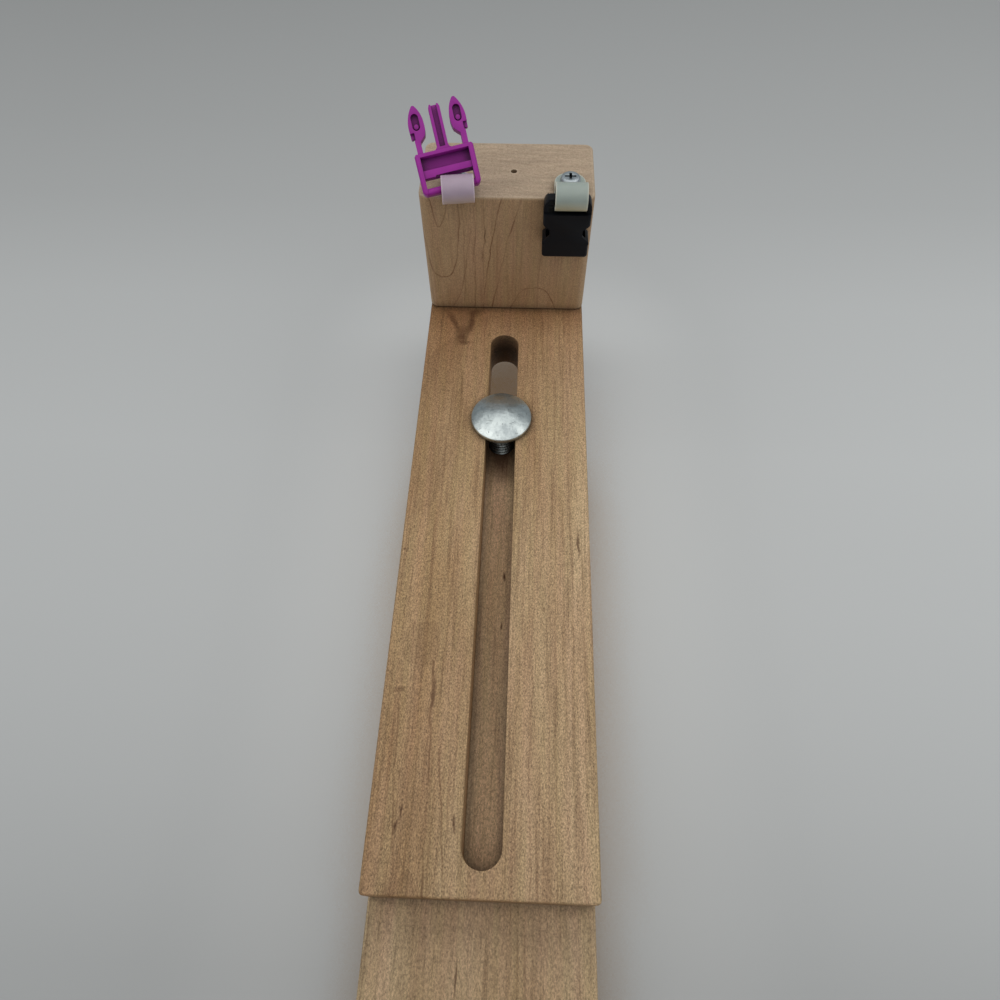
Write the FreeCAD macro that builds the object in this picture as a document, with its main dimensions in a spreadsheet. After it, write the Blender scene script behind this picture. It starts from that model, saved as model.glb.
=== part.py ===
"""Sliding jig for knotting cord bracelets, with a clamp bolt and four clipped buckles.

Frame: X to the right, Y from the near block to the far block, Z up, in millimetres.
The origin is the centre of the base board's underside.
"""
import FreeCAD, Part
import math
import os
from types import SimpleNamespace

import Sketcher
from FreeCAD import Matrix, Placement, Rotation, Vector

# Driving sizes, each written once, in millimetres and degrees
SIZES = {
    # boards and blocks of maple
    "board_width": 63.5,
    "board_length": 248.9,
    "board_thickness": 15.875,
    "board_corner": 1.2,
    "edge_ease": 0.7,
    "block_depth": 33.3,
    "far_block_height": 52.4,
    "block_corner": 3.2,
    "slot_width": 11.1125,
    "slot_length": 193.675,
    "slot_margin": 6.75,
    "bolt_to_slot_end": 43.4,
    "bolt_inset": 18.55,
    "centre_hole_diameter": 2.3,
    "centre_hole_depth": 12.0,
    "centre_hole_aside": 2.3,
    "centre_hole_setback": 15.6,
    # clamp bolt, washer and wing nut
    "bolt_diameter": 9.4,
    "bolt_length": 44.45,
    "bolt_tip_chamfer": 1.0,
    "head_diameter": 22.5,
    "head_height": 5.3,
    "head_rim": 1.7,
    "neck_width": 9.5,
    "neck_height": 5.6,
    "bolt_hole_clearance": 0.35,
    "thread_clearance": 0.08,
    "washer_diameter": 20.6,
    "washer_thickness": 1.6,
    "hub_diameter": 16.5,
    "hub_height": 7.4,
    "wing_spread": 31.75,
    "wing_height": 11.9,
    "wing_thickness": 2.8,
    "wing_root_height": 4.6,
    # rubber feet
    "foot_height": 15.875,
    "foot_top_diameter": 16.0,
    "foot_bottom_diameter": 14.0,
    "foot_recess_diameter": 9.4,
    "foot_recess_depth": 8.4,
    "foot_side_inset": 8.75,
    "foot_near_inset": 12.7,
    "foot_bolt_offset": 10.0,
    # screws
    "screw_fit": 0.1,
    "foot_screw_diameter": 4.0,
    "foot_screw_length": 17.5,
    "foot_screw_head": 7.9,
    "foot_screw_head_height": 2.6,
    "block_screw_diameter": 4.1,
    "block_screw_length": 44.45,
    "block_screw_head": 8.2,
    "block_screw_head_height": 2.7,
    "block_screw_spacing": 25.4,
    "clip_screw_diameter": 3.5,
    "clip_screw_length": 15.875,
    "clip_screw_head": 7.2,
    "clip_screw_head_height": 2.3,
    "screw_point": 3.5,
    "drive_width": 0.9,
    "drive_depth": 1.5,
    "drive_span": 0.56,
    # moulded cable clips
    "strap_width": 11.2,
    "strap_thickness": 1.0,
    "strap_seam": 0.1,
    "loop_radius": 4.65,
    "loop_reach": 12.2,
    "clip_setback": 6.7,
    "lower_bend": 5.2,
    "upper_bend": 4.3,
    "raised_loop_height": 6.4,
    "raised_loop_reach": 11.6,
    "raised_clip_yaw": 7.0,
    "right_clip_inset": 9.1,
    "left_clip_inset": 13.7,
    "right_buckle_shift": 0.95,
    # buckles: what both sizes share
    "strap_play": 0.42,
    "saddle_play": 1.2,
    "saddle_side_play": 0.6,
    "cocked_side_play": 1.05,
    "bar_depth": 3.6,
    "bar_round": 1.1,
    "bar_back_round": 0.9,
    "cocked_bar_depth": 5.0,
    "cocked_bar_round": 1.25,
    # larger pair of buckles
    "large_width": 20.4,
    "large_depth": 5.6,
    "large_female_depth": 7.6,
    "large_inner_width": 16.8,
    "large_bar": 2.2,
    "large_cocked_bar_reach": 2.0,
    "large_strap_slot": 3.15,
    "large_middle_bar": 2.45,
    "large_window": 4.2,
    "large_shoulder": 1.1,
    "large_prong_length": 15.0,
    "large_guide_length": 13.9,
    "large_collar": 4.6,
    "large_corner": 1.6,
    "large_rail_round": 0.9,
    # smaller pair of buckles
    "small_width": 16.8,
    "small_depth": 4.8,
    "small_female_depth": 6.8,
    "small_inner_width": 13.7,
    "small_bar": 3.6,
    "small_strap_slot": 1.9,
    "small_middle_bar": 1.8,
    "small_window": 3.2,
    "small_shoulder": 1.1,
    "small_prong_length": 15.4,
    "small_guide_length": 13.5,
    "small_collar": 6.7,
    "small_corner": 0.9,
    "small_rail_round": 0.6,
    # shares of the moulding that both sizes have
    "moulding_wall": 1.2,
    "end_wall": 2.0,
    "prong_gap": 0.35,
    "arm_width": 1.9,
    "guide_width": 3.9,
    "groove_width": 1.9,
    "groove_depth": 1.4,
    "rib_height": 0.7,
    "dimple_depth": 1.45,
    "boss_radius": 0.8,
    "boss_height": 0.9,
    "barb_recess_width": 1.5,
    "barb_recess_height": 1.8,
    "barb_recess_depth": 1.25,
    "case_round": 3.8,
    "leaf_width": 5.4,
    "barb_step": 0.75,
    "bar_setback": 1.0,
    "window_floor": 1.3,
    # how the far left buckle leans
    "lean_back": 46.0,
    "lean_aside": 9.5,
}


class Size:
    """A number that also carries the sheet expression it comes from."""

    def __init__(self, value, text):
        self.value = value
        self.text = text

    def join(self, sign, value, other):
        return Size(value, "(" + self.text + sign + other.text + ")")

    def __add__(self, other):
        other = sized(other)
        return self.join(" + ", self.value + other.value, other)

    def __sub__(self, other):
        other = sized(other)
        return self.join(" - ", self.value - other.value, other)

    def __mul__(self, other):
        other = sized(other)
        return self.join(" * ", self.value * other.value, other)

    def __truediv__(self, other):
        other = sized(other)
        return self.join(" / ", self.value / other.value, other)

    def __radd__(self, other):
        return sized(other) + self

    def __rsub__(self, other):
        return sized(other) - self

    def __rmul__(self, other):
        return sized(other) * self

    def __neg__(self):
        return Size(-self.value, "(0 - " + self.text + ")")


def sized(number):
    """The number as a Size, whether it is one already or not."""
    if isinstance(number, Size):
        return number
    return Size(float(number), "(" + repr(float(number)) + ")")


def root(size):
    return Size(math.sqrt(size.value), "sqrt(" + size.text + ")")


# The document and its sheet of sizes
doc = FreeCAD.newDocument("BraceletJig")
sheet = doc.addObject("Spreadsheet::Sheet", "Sizes")
for row, (alias, value) in enumerate(SIZES.items(), start=1):
    sheet.set("A" + str(row), alias)
    sheet.set("B" + str(row), str(value))
    sheet.setAlias("B" + str(row), alias)
s = SimpleNamespace(**{alias: Size(value, "Sizes." + alias) for alias, value in SIZES.items()})


def derived(alias, size):
    """A size that follows from others, kept in the sheet under its own alias."""
    row = str(len(SIZES) + 1 + len(derived.aliases))
    derived.aliases.append(alias)
    sheet.set("A" + row, alias)
    sheet.set("B" + row, "=" + size.text.replace("Sizes.", ""))
    sheet.setAlias("B" + row, alias)
    return Size(size.value, "Sizes." + alias)


derived.aliases = []

# Places that several pieces share
half_board = derived("half_board", s.board_width / 2)
half_length = derived("half_length", s.board_length / 2)
slide_level = derived("slide_level", s.board_thickness)
slide_top = derived("slide_top", s.board_thickness * 2)
block_top = derived("block_top", slide_top + s.far_block_height)
near_block_height = derived("near_block_height", s.far_block_height + s.board_thickness)
near_face = derived("near_face", s.block_depth - half_length)
bolt_place = derived("bolt_place", half_length - s.bolt_inset)
slide_start = derived("slide_start", bolt_place + s.bolt_to_slot_end - s.slot_length - s.slot_margin)
far_face = derived("far_face", slide_start + s.board_length - s.block_depth)
loop_inside = derived("loop_inside", s.loop_radius - s.strap_thickness)
tab_height = derived("tab_height", s.strap_thickness * 2 + s.strap_seam)
bolt_hole = derived("bolt_hole", s.bolt_diameter / 2 + s.bolt_hole_clearance)
foot_x = derived("foot_x", half_board - s.foot_side_inset)
foot_near_y = derived("foot_near_y", s.foot_near_inset - half_length)
foot_far_y = derived("foot_far_y", bolt_place - s.foot_bolt_offset)
block_screw_x = derived("block_screw_x", s.block_screw_spacing / 2)
right_clip_x = derived("right_clip_x", half_board - s.right_clip_inset)
left_clip_x = derived("left_clip_x", s.left_clip_inset - half_board)
right_buckle_x = derived("right_buckle_x", right_clip_x - s.right_buckle_shift)


ear_round = derived("ear_round", (s.wing_height - s.wing_root_height) * 0.52)


def clip_sizes(tag, loop_height, reach):
    """Where a clip's strap leaves its tab, meets the loop and comes back, seen from the side."""
    v_y = reach - s.lower_bend
    v_z = loop_height
    span = v_y * v_y + v_z * v_z
    run = derived(tag + "_lower_run", root(span - s.loop_radius * s.loop_radius))
    w_y = reach - s.upper_bend
    w_z = loop_height - tab_height
    wide = w_y * w_y + w_z * w_z
    fall = derived(tag + "_upper_run", root(wide - s.loop_radius * s.loop_radius))
    return SimpleNamespace(
        loop_height=loop_height,
        reach=reach,
        run=run,
        low_y=derived(tag + "_low_y", (run * v_y + s.loop_radius * v_z) / span),
        low_z=derived(tag + "_low_z", (run * v_z - s.loop_radius * v_y) / span),
        fall=fall,
        high_y=derived(tag + "_high_y", (fall * w_y - s.loop_radius * w_z) / wide),
        high_z=derived(tag + "_high_z", (fall * w_z + s.loop_radius * w_y) / wide),
    )


def buckle_sizes(prefix):
    """The sizes of one pair of buckles, under names that leave out the prefix."""
    b = SimpleNamespace()
    for alias in SIZES:
        if alias.startswith(prefix):
            setattr(b, alias[len(prefix):], getattr(s, alias))
    # lengths from the strap bar's inner edge
    b.shoulder_line = derived(prefix + "shoulder_line", b.strap_slot + b.middle_bar + b.window + b.shoulder)
    b.hollow_line = derived(prefix + "hollow_line", b.strap_slot + s.end_wall)
    b.mouth_line = derived(prefix + "mouth_line", b.hollow_line + b.prong_length + s.prong_gap)
    b.catch_line = derived(prefix + "catch_line", b.mouth_line - b.collar)
    b.prong_depth = derived(prefix + "prong_depth", b.female_depth - (s.moulding_wall + s.prong_gap) * 2)
    return b


square_clip = clip_sizes("square", s.loop_radius, s.loop_reach)
raised_clip = clip_sizes("raised", s.raised_loop_height, s.raised_loop_reach)
square_reach = derived("square_reach", loop_inside - s.strap_play)
large_buckle = buckle_sizes("large_")
small_buckle = buckle_sizes("small_")


# Helpers that every piece is built with
def new_body(label):
    body = doc.addObject("PartDesign::Body", label)
    body.Label = label
    return body


def bind(thing, **sizes):
    """Set each property to its size and tie it to the sheet."""
    for name, size in sizes.items():
        size = sized(size)
        setattr(thing, name, size.value)
        thing.setExpression(name, size.text)


def place(body, x=0, y=0, z=0, turn=None):
    """Put a body where the sizes say, turned as given."""
    x, y, z = sized(x), sized(y), sized(z)
    body.Placement = Placement(Vector(x.value, y.value, z.value), turn or Rotation())
    for axis, size in (("x", x), ("y", y), ("z", z)):
        body.setExpression("Placement.Base." + axis, size.text)


def new_sketch(body, plane, name, lift=None):
    """A sketch on one of the body's own origin planes, lifted along its normal."""
    sketch = body.newObject("Sketcher::SketchObject", name)
    support = [item for item in body.Origin.OriginFeatures if item.Role == plane + "_Plane"]
    sketch.AttachmentSupport = [(support[0], "")]
    sketch.MapMode = "FlatFace"
    if lift is not None:
        sketch.AttachmentOffset = Placement(Vector(0, 0, lift.value), Rotation())
        sketch.setExpression("AttachmentOffset.Base.z", lift.text)
    return sketch


def hold(sketch, edge, point, x, y):
    """Fix a point of a sketch edge at x and y from the sketch's origin."""
    for kind, size in (("DistanceX", x), ("DistanceY", y)):
        if size is None:
            continue
        size = sized(size)
        if size.value < 0:
            index = sketch.addConstraint(Sketcher.Constraint(kind, edge, point, -1, 1, -size.value))
            sketch.setExpression("Constraints[" + str(index) + "]", (-size).text)
        else:
            index = sketch.addConstraint(Sketcher.Constraint(kind, -1, 1, edge, point, size.value))
            sketch.setExpression("Constraints[" + str(index) + "]", size.text)


def circle(sketch, x, y, radius):
    radius = sized(radius)
    centre = Vector(sized(x).value, sized(y).value, 0)
    edge = sketch.addGeometry(Part.Circle(centre, Vector(0, 0, 1), radius.value), False)
    index = sketch.addConstraint(Sketcher.Constraint("Radius", edge, radius.value))
    sketch.setExpression("Constraints[" + str(index) + "]", radius.text)
    hold(sketch, edge, 3, x, y)


def outline(sketch, corners):
    """A closed outline. A third value on a corner is the radius of the arc to the next one.

    The arc turns left when the radius is above zero and right when it is below.
    """
    spots = [Vector(sized(corner[0]).value, sized(corner[1]).value, 0) for corner in corners]
    ends = []
    for number, corner in enumerate(corners):
        start = spots[number]
        finish = spots[(number + 1) % len(corners)]
        if len(corner) == 2:
            edge = sketch.addGeometry(Part.LineSegment(start, finish), False)
            ends.append((edge, 1, 2))
            continue
        radius = sized(corner[2])
        chord = finish - start
        side = Vector(-chord.y, chord.x, 0).normalize()
        size = abs(radius.value)
        rise = math.sqrt(max(size * size - chord.Length * chord.Length / 4, 0))
        turn = 1 if radius.value > 0 else -1
        centre = start + chord * 0.5 + side * (rise * turn)
        first = math.atan2(start.y - centre.y, start.x - centre.x)
        last = math.atan2(finish.y - centre.y, finish.x - centre.x)
        base = Part.Circle(centre, Vector(0, 0, 1), size)
        if turn > 0:
            edge = sketch.addGeometry(Part.ArcOfCircle(base, first, last), False)
            ends.append((edge, 1, 2))
        else:
            edge = sketch.addGeometry(Part.ArcOfCircle(base, last, first), False)
            ends.append((edge, 2, 1))
        if rise > 1e-6:
            index = sketch.addConstraint(Sketcher.Constraint("Radius", edge, size))
            text = radius.text if turn > 0 else (-radius).text
            sketch.setExpression("Constraints[" + str(index) + "]", text)
        elif abs(chord.x) > abs(chord.y):
            # a half circle is fixed by its centre, level with its ends
            hold(sketch, edge, 3, None, corner[1])
        else:
            hold(sketch, edge, 3, corner[0], None)
    for number, corner in enumerate(corners):
        edge, start, finish = ends[number]
        after = ends[(number + 1) % len(ends)]
        sketch.addConstraint(Sketcher.Constraint("Coincident", edge, finish, after[0], after[1]))
        hold(sketch, edge, start, corner[0], corner[1])


def rectangle(sketch, left, right, low, high):
    outline(sketch, [(left, low), (right, low), (right, high), (left, high)])


def pad(body, sketch, length, name, both=False, down=False):
    feature = body.newObject("PartDesign::Pad", name)
    feature.Profile = sketch
    feature.Midplane = both
    feature.Reversed = down
    bind(feature, Length=length)
    sketch.Visibility = False
    return feature


def pocket(body, sketch, name, depth=None, down=False, both=False):
    """Cut the sketch away, right through unless a depth is given, and check that it cut."""
    doc.recompute()
    before = body.Tip.Shape.Volume
    feature = body.newObject("PartDesign::Pocket", name)
    feature.Profile = sketch
    feature.Reversed = down
    feature.Midplane = both
    if depth is None:
        feature.Type = 1
        feature.Midplane = True
    else:
        bind(feature, Length=depth)
    doc.recompute()
    if not feature.Shape.Volume < before - 1e-6:
        raise ValueError(body.Label + ": the cut " + name + " removed nothing")
    return feature


def revolve(body, sketch, name):
    """Turn a profile about the sketch's upright axis."""
    feature = body.newObject("PartDesign::Revolution", name)
    feature.Profile = sketch
    feature.ReferenceAxis = (sketch, ["V_Axis"])
    feature.Angle = 360
    return feature


def edges_where(body, test):
    """The names of the body's edges whose middle, start and end pass the test."""
    doc.recompute()
    names = []
    for number, edge in enumerate(body.Tip.Shape.Edges, start=1):
        middle = edge.valueAt((edge.FirstParameter + edge.LastParameter) / 2)
        if test(edge, middle):
            names.append("Edge" + str(number))
    return names


def fillet(body, radius, name, test):
    """Round the edges that pass the test."""
    names = edges_where(body, test)
    if not names:
        raise ValueError(body.Label + ": no edge to round for " + name)
    tip = body.Tip
    feature = body.newObject("PartDesign::Fillet", name)
    feature.Base = (tip, names)
    bind(feature, Radius=radius)
    doc.recompute()
    return feature


def near(one, other, slack=1e-3):
    return abs(one - other) < slack


def upright(edge):
    return edge.Curve.TypeId == "Part::GeomLine" and near(abs(edge.tangentAt(edge.FirstParameter).z), 1)


def turned(x_axis, y_axis, z_axis):
    """The rotation that takes the local axes to these directions."""
    grid = Matrix(
        x_axis.x, y_axis.x, z_axis.x, 0,
        x_axis.y, y_axis.y, z_axis.y, 0,
        x_axis.z, y_axis.z, z_axis.z, 0,
        0, 0, 0, 1,
    )
    return Placement(grid).Rotation


# Boards: base, slide and the two upright blocks
def board_outline(body, length, name):
    sketch = new_sketch(body, "XY", name)
    rectangle(sketch, -half_board, half_board, sized(0), length)
    return sketch


def make_base_board():
    body = new_body("base_board")
    sketch = new_sketch(body, "XY", "BaseOutline")
    rectangle(sketch, -half_board, half_board, -half_length, half_length)
    pad(body, sketch, s.board_thickness, "BasePlank")
    holes = new_sketch(body, "XY", "BaseHoles")
    circle(holes, 0, bolt_place, bolt_hole)
    for x in (-block_screw_x, block_screw_x):
        circle(holes, x, near_face - s.block_depth / 2, s.block_screw_diameter / 2 + s.screw_fit)
    pocket(body, holes, "BaseHolesCut")
    sinks = new_sketch(body, "XY", "BaseSinks")
    for x in (-block_screw_x, block_screw_x):
        circle(sinks, x, near_face - s.block_depth / 2, s.block_screw_head / 2 + s.screw_fit)
    sink = pocket(body, sinks, "BaseSinksCut", s.block_screw_head_height, down=True)
    sink.TaperAngle = 0
    pilots = new_sketch(body, "XY", "FootPilots")
    for x in (-foot_x, foot_x):
        for y in (foot_near_y, foot_far_y):
            circle(pilots, x, y, s.foot_screw_diameter / 2 + s.screw_fit)
    pilot_depth = s.foot_screw_length + s.foot_recess_depth - s.foot_height + s.screw_point / 4
    pocket(body, pilots, "FootPilotsCut", pilot_depth, down=True)
    fillet(body, s.board_corner, "BaseCorners",
           lambda edge, middle: upright(edge) and near(abs(middle.x), half_board.value))
    top = s.board_thickness.value
    fillet(body, s.edge_ease, "BaseTopEase",
           lambda edge, middle: near(middle.z, top) and (
               abs(middle.x) > half_board.value - 2 or abs(middle.y) > half_length.value - 2))
    place(body)
    return body


def make_slide_board():
    """The local origin is the middle of the near end, at the underside."""
    body = new_body("slide_board")
    pad(body, board_outline(body, s.board_length, "SlideOutline"), s.board_thickness, "SlidePlank")
    slot = new_sketch(body, "XY", "SlotOutline")
    side = s.slot_width / 2
    low = s.slot_margin + side
    high = s.slot_margin + s.slot_length - side
    outline(slot, [(side, low), (side, high, side), (-side, high), (-side, low, side)])
    pocket(body, slot, "Slot")
    holes = new_sketch(body, "XY", "SlideHoles")
    sinks = new_sketch(body, "XY", "SlideSinks")
    for x in (-block_screw_x, block_screw_x):
        row = s.board_length - s.block_depth / 2
        circle(holes, x, row, s.block_screw_diameter / 2 + s.screw_fit)
        circle(sinks, x, row, s.block_screw_head / 2 + s.screw_fit)
    pocket(body, holes, "SlideHolesCut")
    pocket(body, sinks, "SlideSinksCut", s.block_screw_head_height, down=True)
    fillet(body, s.board_corner, "SlideCorners",
           lambda edge, middle: upright(edge) and near(abs(middle.x), half_board.value))
    top = s.board_thickness.value
    fillet(body, s.edge_ease, "SlideTopEase",
           lambda edge, middle: near(middle.z, top) and (
               abs(middle.x) > half_board.value - 2 or middle.y < 2 or middle.y > s.board_length.value - 2))
    place(body, 0, slide_start, slide_level)
    return body


def make_block(label, height, with_centre_hole):
    """A block standing on a board. The local origin is the middle of its bottom front edge,
    with the face that carries the clips at Y 0 and the block behind it."""
    body = new_body(label)
    pad(body, board_outline(body, s.block_depth, label + "_outline"), height, label + "_stock")
    pilots = new_sketch(body, "XY", label + "_pilots")
    for x in (-block_screw_x, block_screw_x):
        circle(pilots, x, s.block_depth / 2, s.block_screw_diameter / 2 + s.screw_fit)
    pilot_depth = s.block_screw_length - s.board_thickness + s.screw_point / 4
    pocket(body, pilots, label + "_pilots_cut", pilot_depth, down=True)
    tops = new_sketch(body, "XY", label + "_clip_pilots", height)
    clip_pilot_depth = s.clip_screw_length - tab_height + s.screw_point / 4
    mirrored = -1 if label == "near_block" else 1
    for x in (left_clip_x * mirrored, right_clip_x * mirrored):
        circle(tops, x, s.clip_setback, s.clip_screw_diameter / 2 + s.screw_fit)
    pocket(body, tops, label + "_clip_pilots_cut", clip_pilot_depth)
    if with_centre_hole:
        centre = new_sketch(body, "XY", "CentreHole", height)
        circle(centre, s.centre_hole_aside, s.centre_hole_setback, s.centre_hole_diameter / 2)
        pocket(body, centre, "CentreHoleCut", s.centre_hole_depth)
    fillet(body, s.block_corner, label + "_corners",
           lambda edge, middle: upright(edge) and near(abs(middle.x), half_board.value))
    fillet(body, s.edge_ease, label + "_top_ease",
           lambda edge, middle: near(middle.z, height.value) and (
               abs(middle.x) > half_board.value - 4 or middle.y < 1 or middle.y > s.block_depth.value - 1)
           and not (edge.Curve.TypeId == "Part::GeomCircle" and edge.Closed))
    return body


# Clamp bolt, washer and wing nut, on one upright axis
def make_carriage_bolt():
    """The local origin is on the axis, at the underside of the head."""
    body = new_body("carriage_bolt")
    profile = new_sketch(body, "XZ", "BoltProfile")
    rim = s.head_diameter / 2
    crown = s.head_height - s.head_rim
    dome = (rim * rim + crown * crown) / (2 * crown)
    shank = s.bolt_diameter / 2
    outline(profile, [
        (sized(0), -s.bolt_length),
        (shank - s.bolt_tip_chamfer, -s.bolt_length),
        (shank, s.bolt_tip_chamfer - s.bolt_length),
        (shank, sized(0)),
        (rim, sized(0)),
        (rim, s.head_rim, dome),
        (sized(0), s.head_height),
    ])
    revolve(body, profile, "BoltTurned")
    neck = new_sketch(body, "XY", "NeckOutline")
    half_neck = s.neck_width / 2
    rectangle(neck, -half_neck, half_neck, -half_neck, half_neck)
    pad(body, neck, s.neck_height, "SquareNeck", down=True)
    fillet(body, s.head_rim / 2, "HeadRim",
           lambda edge, middle: near(middle.z, s.head_rim.value) and near(math.hypot(middle.x, middle.y), rim.value))
    place(body, 0, bolt_place, slide_top)
    return body


def make_flat_washer():
    body = new_body("flat_washer")
    profile = new_sketch(body, "XY", "WasherOutline")
    circle(profile, 0, 0, s.washer_diameter / 2)
    circle(profile, 0, 0, bolt_hole)
    pad(body, profile, s.washer_thickness, "WasherPlate", down=True)
    place(body, 0, bolt_place, 0)
    return body


def make_wing_nut():
    """The local origin is on the axis, at the face that bears on the washer. The wings point down."""
    body = new_body("wing_nut")
    profile = new_sketch(body, "XZ", "HubProfile")
    bore = s.bolt_diameter / 2 + s.thread_clearance
    hub = s.hub_diameter / 2
    outline(profile, [
        (bore, -s.hub_height),
        (hub * 0.78, -s.hub_height),
        (hub, s.hub_height * (-0.45)),
        (hub, sized(0)),
        (bore, sized(0)),
    ])
    revolve(body, profile, "Hub")
    wing = new_sketch(body, "XZ", "WingOutline")
    tip = s.wing_spread / 2
    outline(wing, [
        (hub - 1.6, sized(-0.6)),
        (hub + 1.5, sized(-0.6)),
        (tip - 1.2, s.wing_root_height * (-0.75)),
        (tip, -s.wing_root_height),
        (tip, ear_round - s.wing_height, -ear_round),
        (tip - ear_round, -s.wing_height, -ear_round),
        (tip - ear_round * 2, ear_round - s.wing_height),
        (hub - 0.4, -s.wing_root_height - 1.2),
        (hub - 1.6, -s.wing_root_height - 1.2),
    ])
    right_wing = pad(body, wing, s.wing_thickness, "RightWing", both=True)
    doc.recompute()
    mirror = body.newObject("PartDesign::Mirrored", "LeftWing")
    mirror.Originals = [right_wing]
    plane = [item for item in body.Origin.OriginFeatures if item.Role == "YZ_Plane"][0]
    mirror.MirrorPlane = (plane, [""])
    body.Tip = mirror
    doc.recompute()
    place(body, 0, bolt_place, -s.washer_thickness)
    return body


# Rubber feet and the screws that hold them
def make_foot(label, x, y):
    """A tapered bumper with a recess for its screw. The local origin is the middle of its top face."""
    body = new_body(label)
    profile = new_sketch(body, "XZ", label + "_profile")
    bore = s.foot_screw_diameter / 2 + s.screw_fit
    recess = s.foot_recess_diameter / 2
    shelf = s.foot_recess_depth - s.foot_height
    outline(profile, [
        (bore, shelf),
        (recess, shelf),
        (recess, -s.foot_height),
        (s.foot_bottom_diameter / 2 - 0.8, -s.foot_height, 0.8),
        (s.foot_bottom_diameter / 2, 0.8 - s.foot_height),
        (s.foot_top_diameter / 2, sized(-0.8)),
        (s.foot_top_diameter / 2, sized(0)),
        (bore, sized(0)),
    ])
    revolve(body, profile, label + "_moulding")
    place(body, x, y, 0)
    return body


def screw_profile(sketch, diameter, length, head, head_height, countersunk):
    """Half a screw with its point down. The top of the head is at the sketch's origin."""
    shank = diameter / 2
    rim = head / 2
    under = -head_height
    corners = [
        (sized(0), -length),
        (shank * 0.25, -length),
        (shank, s.screw_point - length),
        (shank, under),
    ]
    if countersunk:
        corners.append((rim, sized(-0.4)))
        corners.append((rim, sized(0)))
        corners.append((sized(0), sized(0)))
    else:
        corners.append((rim, under))
        corners.append((rim, under * 0.55, head_height * 0.55))
        corners.append((rim - head_height * 0.55, sized(0)))
        corners.append((sized(0), sized(0)))
    outline(sketch, corners)


def screw_solid(label, diameter, length, head, head_height, countersunk=False):
    """One screw, with the cross recess in its head."""
    body = new_body(label)
    profile = new_sketch(body, "XZ", label + "_profile")
    screw_profile(profile, diameter, length, head, head_height, countersunk)
    revolve(body, profile, label + "_turned")
    cross = new_sketch(body, "XY", label + "_cross")
    arm = s.drive_width / 2
    reach = head * s.drive_span / 2
    outline(cross, [
        (reach, -arm), (reach, arm), (arm, arm), (arm, reach), (-arm, reach), (-arm, arm),
        (-reach, arm), (-reach, -arm), (-arm, -arm), (-arm, -reach), (arm, -reach), (arm, -arm),
    ])
    pocket(body, cross, label + "_recess", s.drive_depth)
    return body


def screw_group(label, body, spots):
    """Copies of one screw at the given places, as one named group of separate solids."""
    doc.recompute()
    copies = []
    for x, y, z, turn in spots:
        solid = body.Shape.copy()
        solid.Placement = Placement(Vector(sized(x).value, sized(y).value, sized(z).value), turn)
        copies.append(solid)
    group = doc.addObject("Part::Feature", label)
    group.Shape = Part.makeCompound(copies)
    group.Label = label
    return group


# Moulded cable clips: one strap that goes round a loop and back over itself
def make_clip(label, c):
    """The local origin is on the screw's axis, on top of the block. The loop is towards Y."""
    body = new_body(label)
    profile = new_sketch(body, "YZ", label + "_strap")
    t = s.strap_thickness
    tab_end = s.strap_width / 2
    # lower side of the strap: it leaves the block and meets the loop as a tangent
    low_touch = (s.lower_bend + c.run * c.low_y, c.run * c.low_z)
    low_inner = (low_touch[0] - t * c.low_z, low_touch[1] + t * c.low_y)
    low_corner = s.lower_bend - t * c.low_z / (1 + c.low_y)
    # upper side of the strap, from the loop back down to the tab
    high_touch = (s.upper_bend + c.fall * c.high_y, tab_height + c.fall * c.high_z)
    high_inner = (high_touch[0] + t * c.high_z, high_touch[1] - t * c.high_y)
    high_corner = s.upper_bend + t * c.high_z / (1 + c.high_y)
    far_side = (c.reach + s.loop_radius, c.loop_height)
    far_inner = (c.reach + loop_inside, c.loop_height)
    outline(profile, [
        (-tab_end, sized(0)),
        (s.lower_bend, sized(0)),
        (low_touch[0], low_touch[1], s.loop_radius),
        (far_side[0], far_side[1], s.loop_radius),
        high_touch,
        (s.upper_bend, tab_height),
        (-tab_end, tab_height),
        (-tab_end, t + s.strap_seam),
        (high_corner, t + s.strap_seam),
        (high_inner[0], high_inner[1], -loop_inside),
        (far_inner[0], far_inner[1], -loop_inside),
        low_inner,
        (low_corner, t),
        (-tab_end, t),
    ])
    pad(body, profile, s.strap_width, label + "_moulding", both=True)
    end = new_sketch(body, "XY", label + "_end")
    beyond = tab_end + 1
    outline(end, [
        (-tab_end, sized(0), tab_end),
        (tab_end, sized(0)),
        (beyond, sized(0)),
        (beyond, -beyond),
        (-beyond, -beyond),
        (-beyond, sized(0)),
    ])
    pocket(body, end, label + "_end_cut")
    hole = new_sketch(body, "XY", label + "_hole")
    circle(hole, 0, 0, s.clip_screw_diameter / 2 + s.screw_fit)
    pocket(body, hole, label + "_hole_cut")
    return body


# Side release buckles
def strap_bar(body, half_span, low, high, depth, strap_round, name):
    """The bar that the strap goes round, across the open end of a buckle."""
    sketch = new_sketch(body, "YZ", name + "_section")
    top = depth / 2
    back = s.bar_back_round
    front = strap_round
    outline(sketch, [
        (low + back, -top), (high - front, -top, front), (high, front - top), (high, top - front, front),
        (high - front, top), (low + back, top, back), (low, top - back), (low, back - top, back),
    ])
    pad(body, sketch, half_span * 2, name, both=True)


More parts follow.
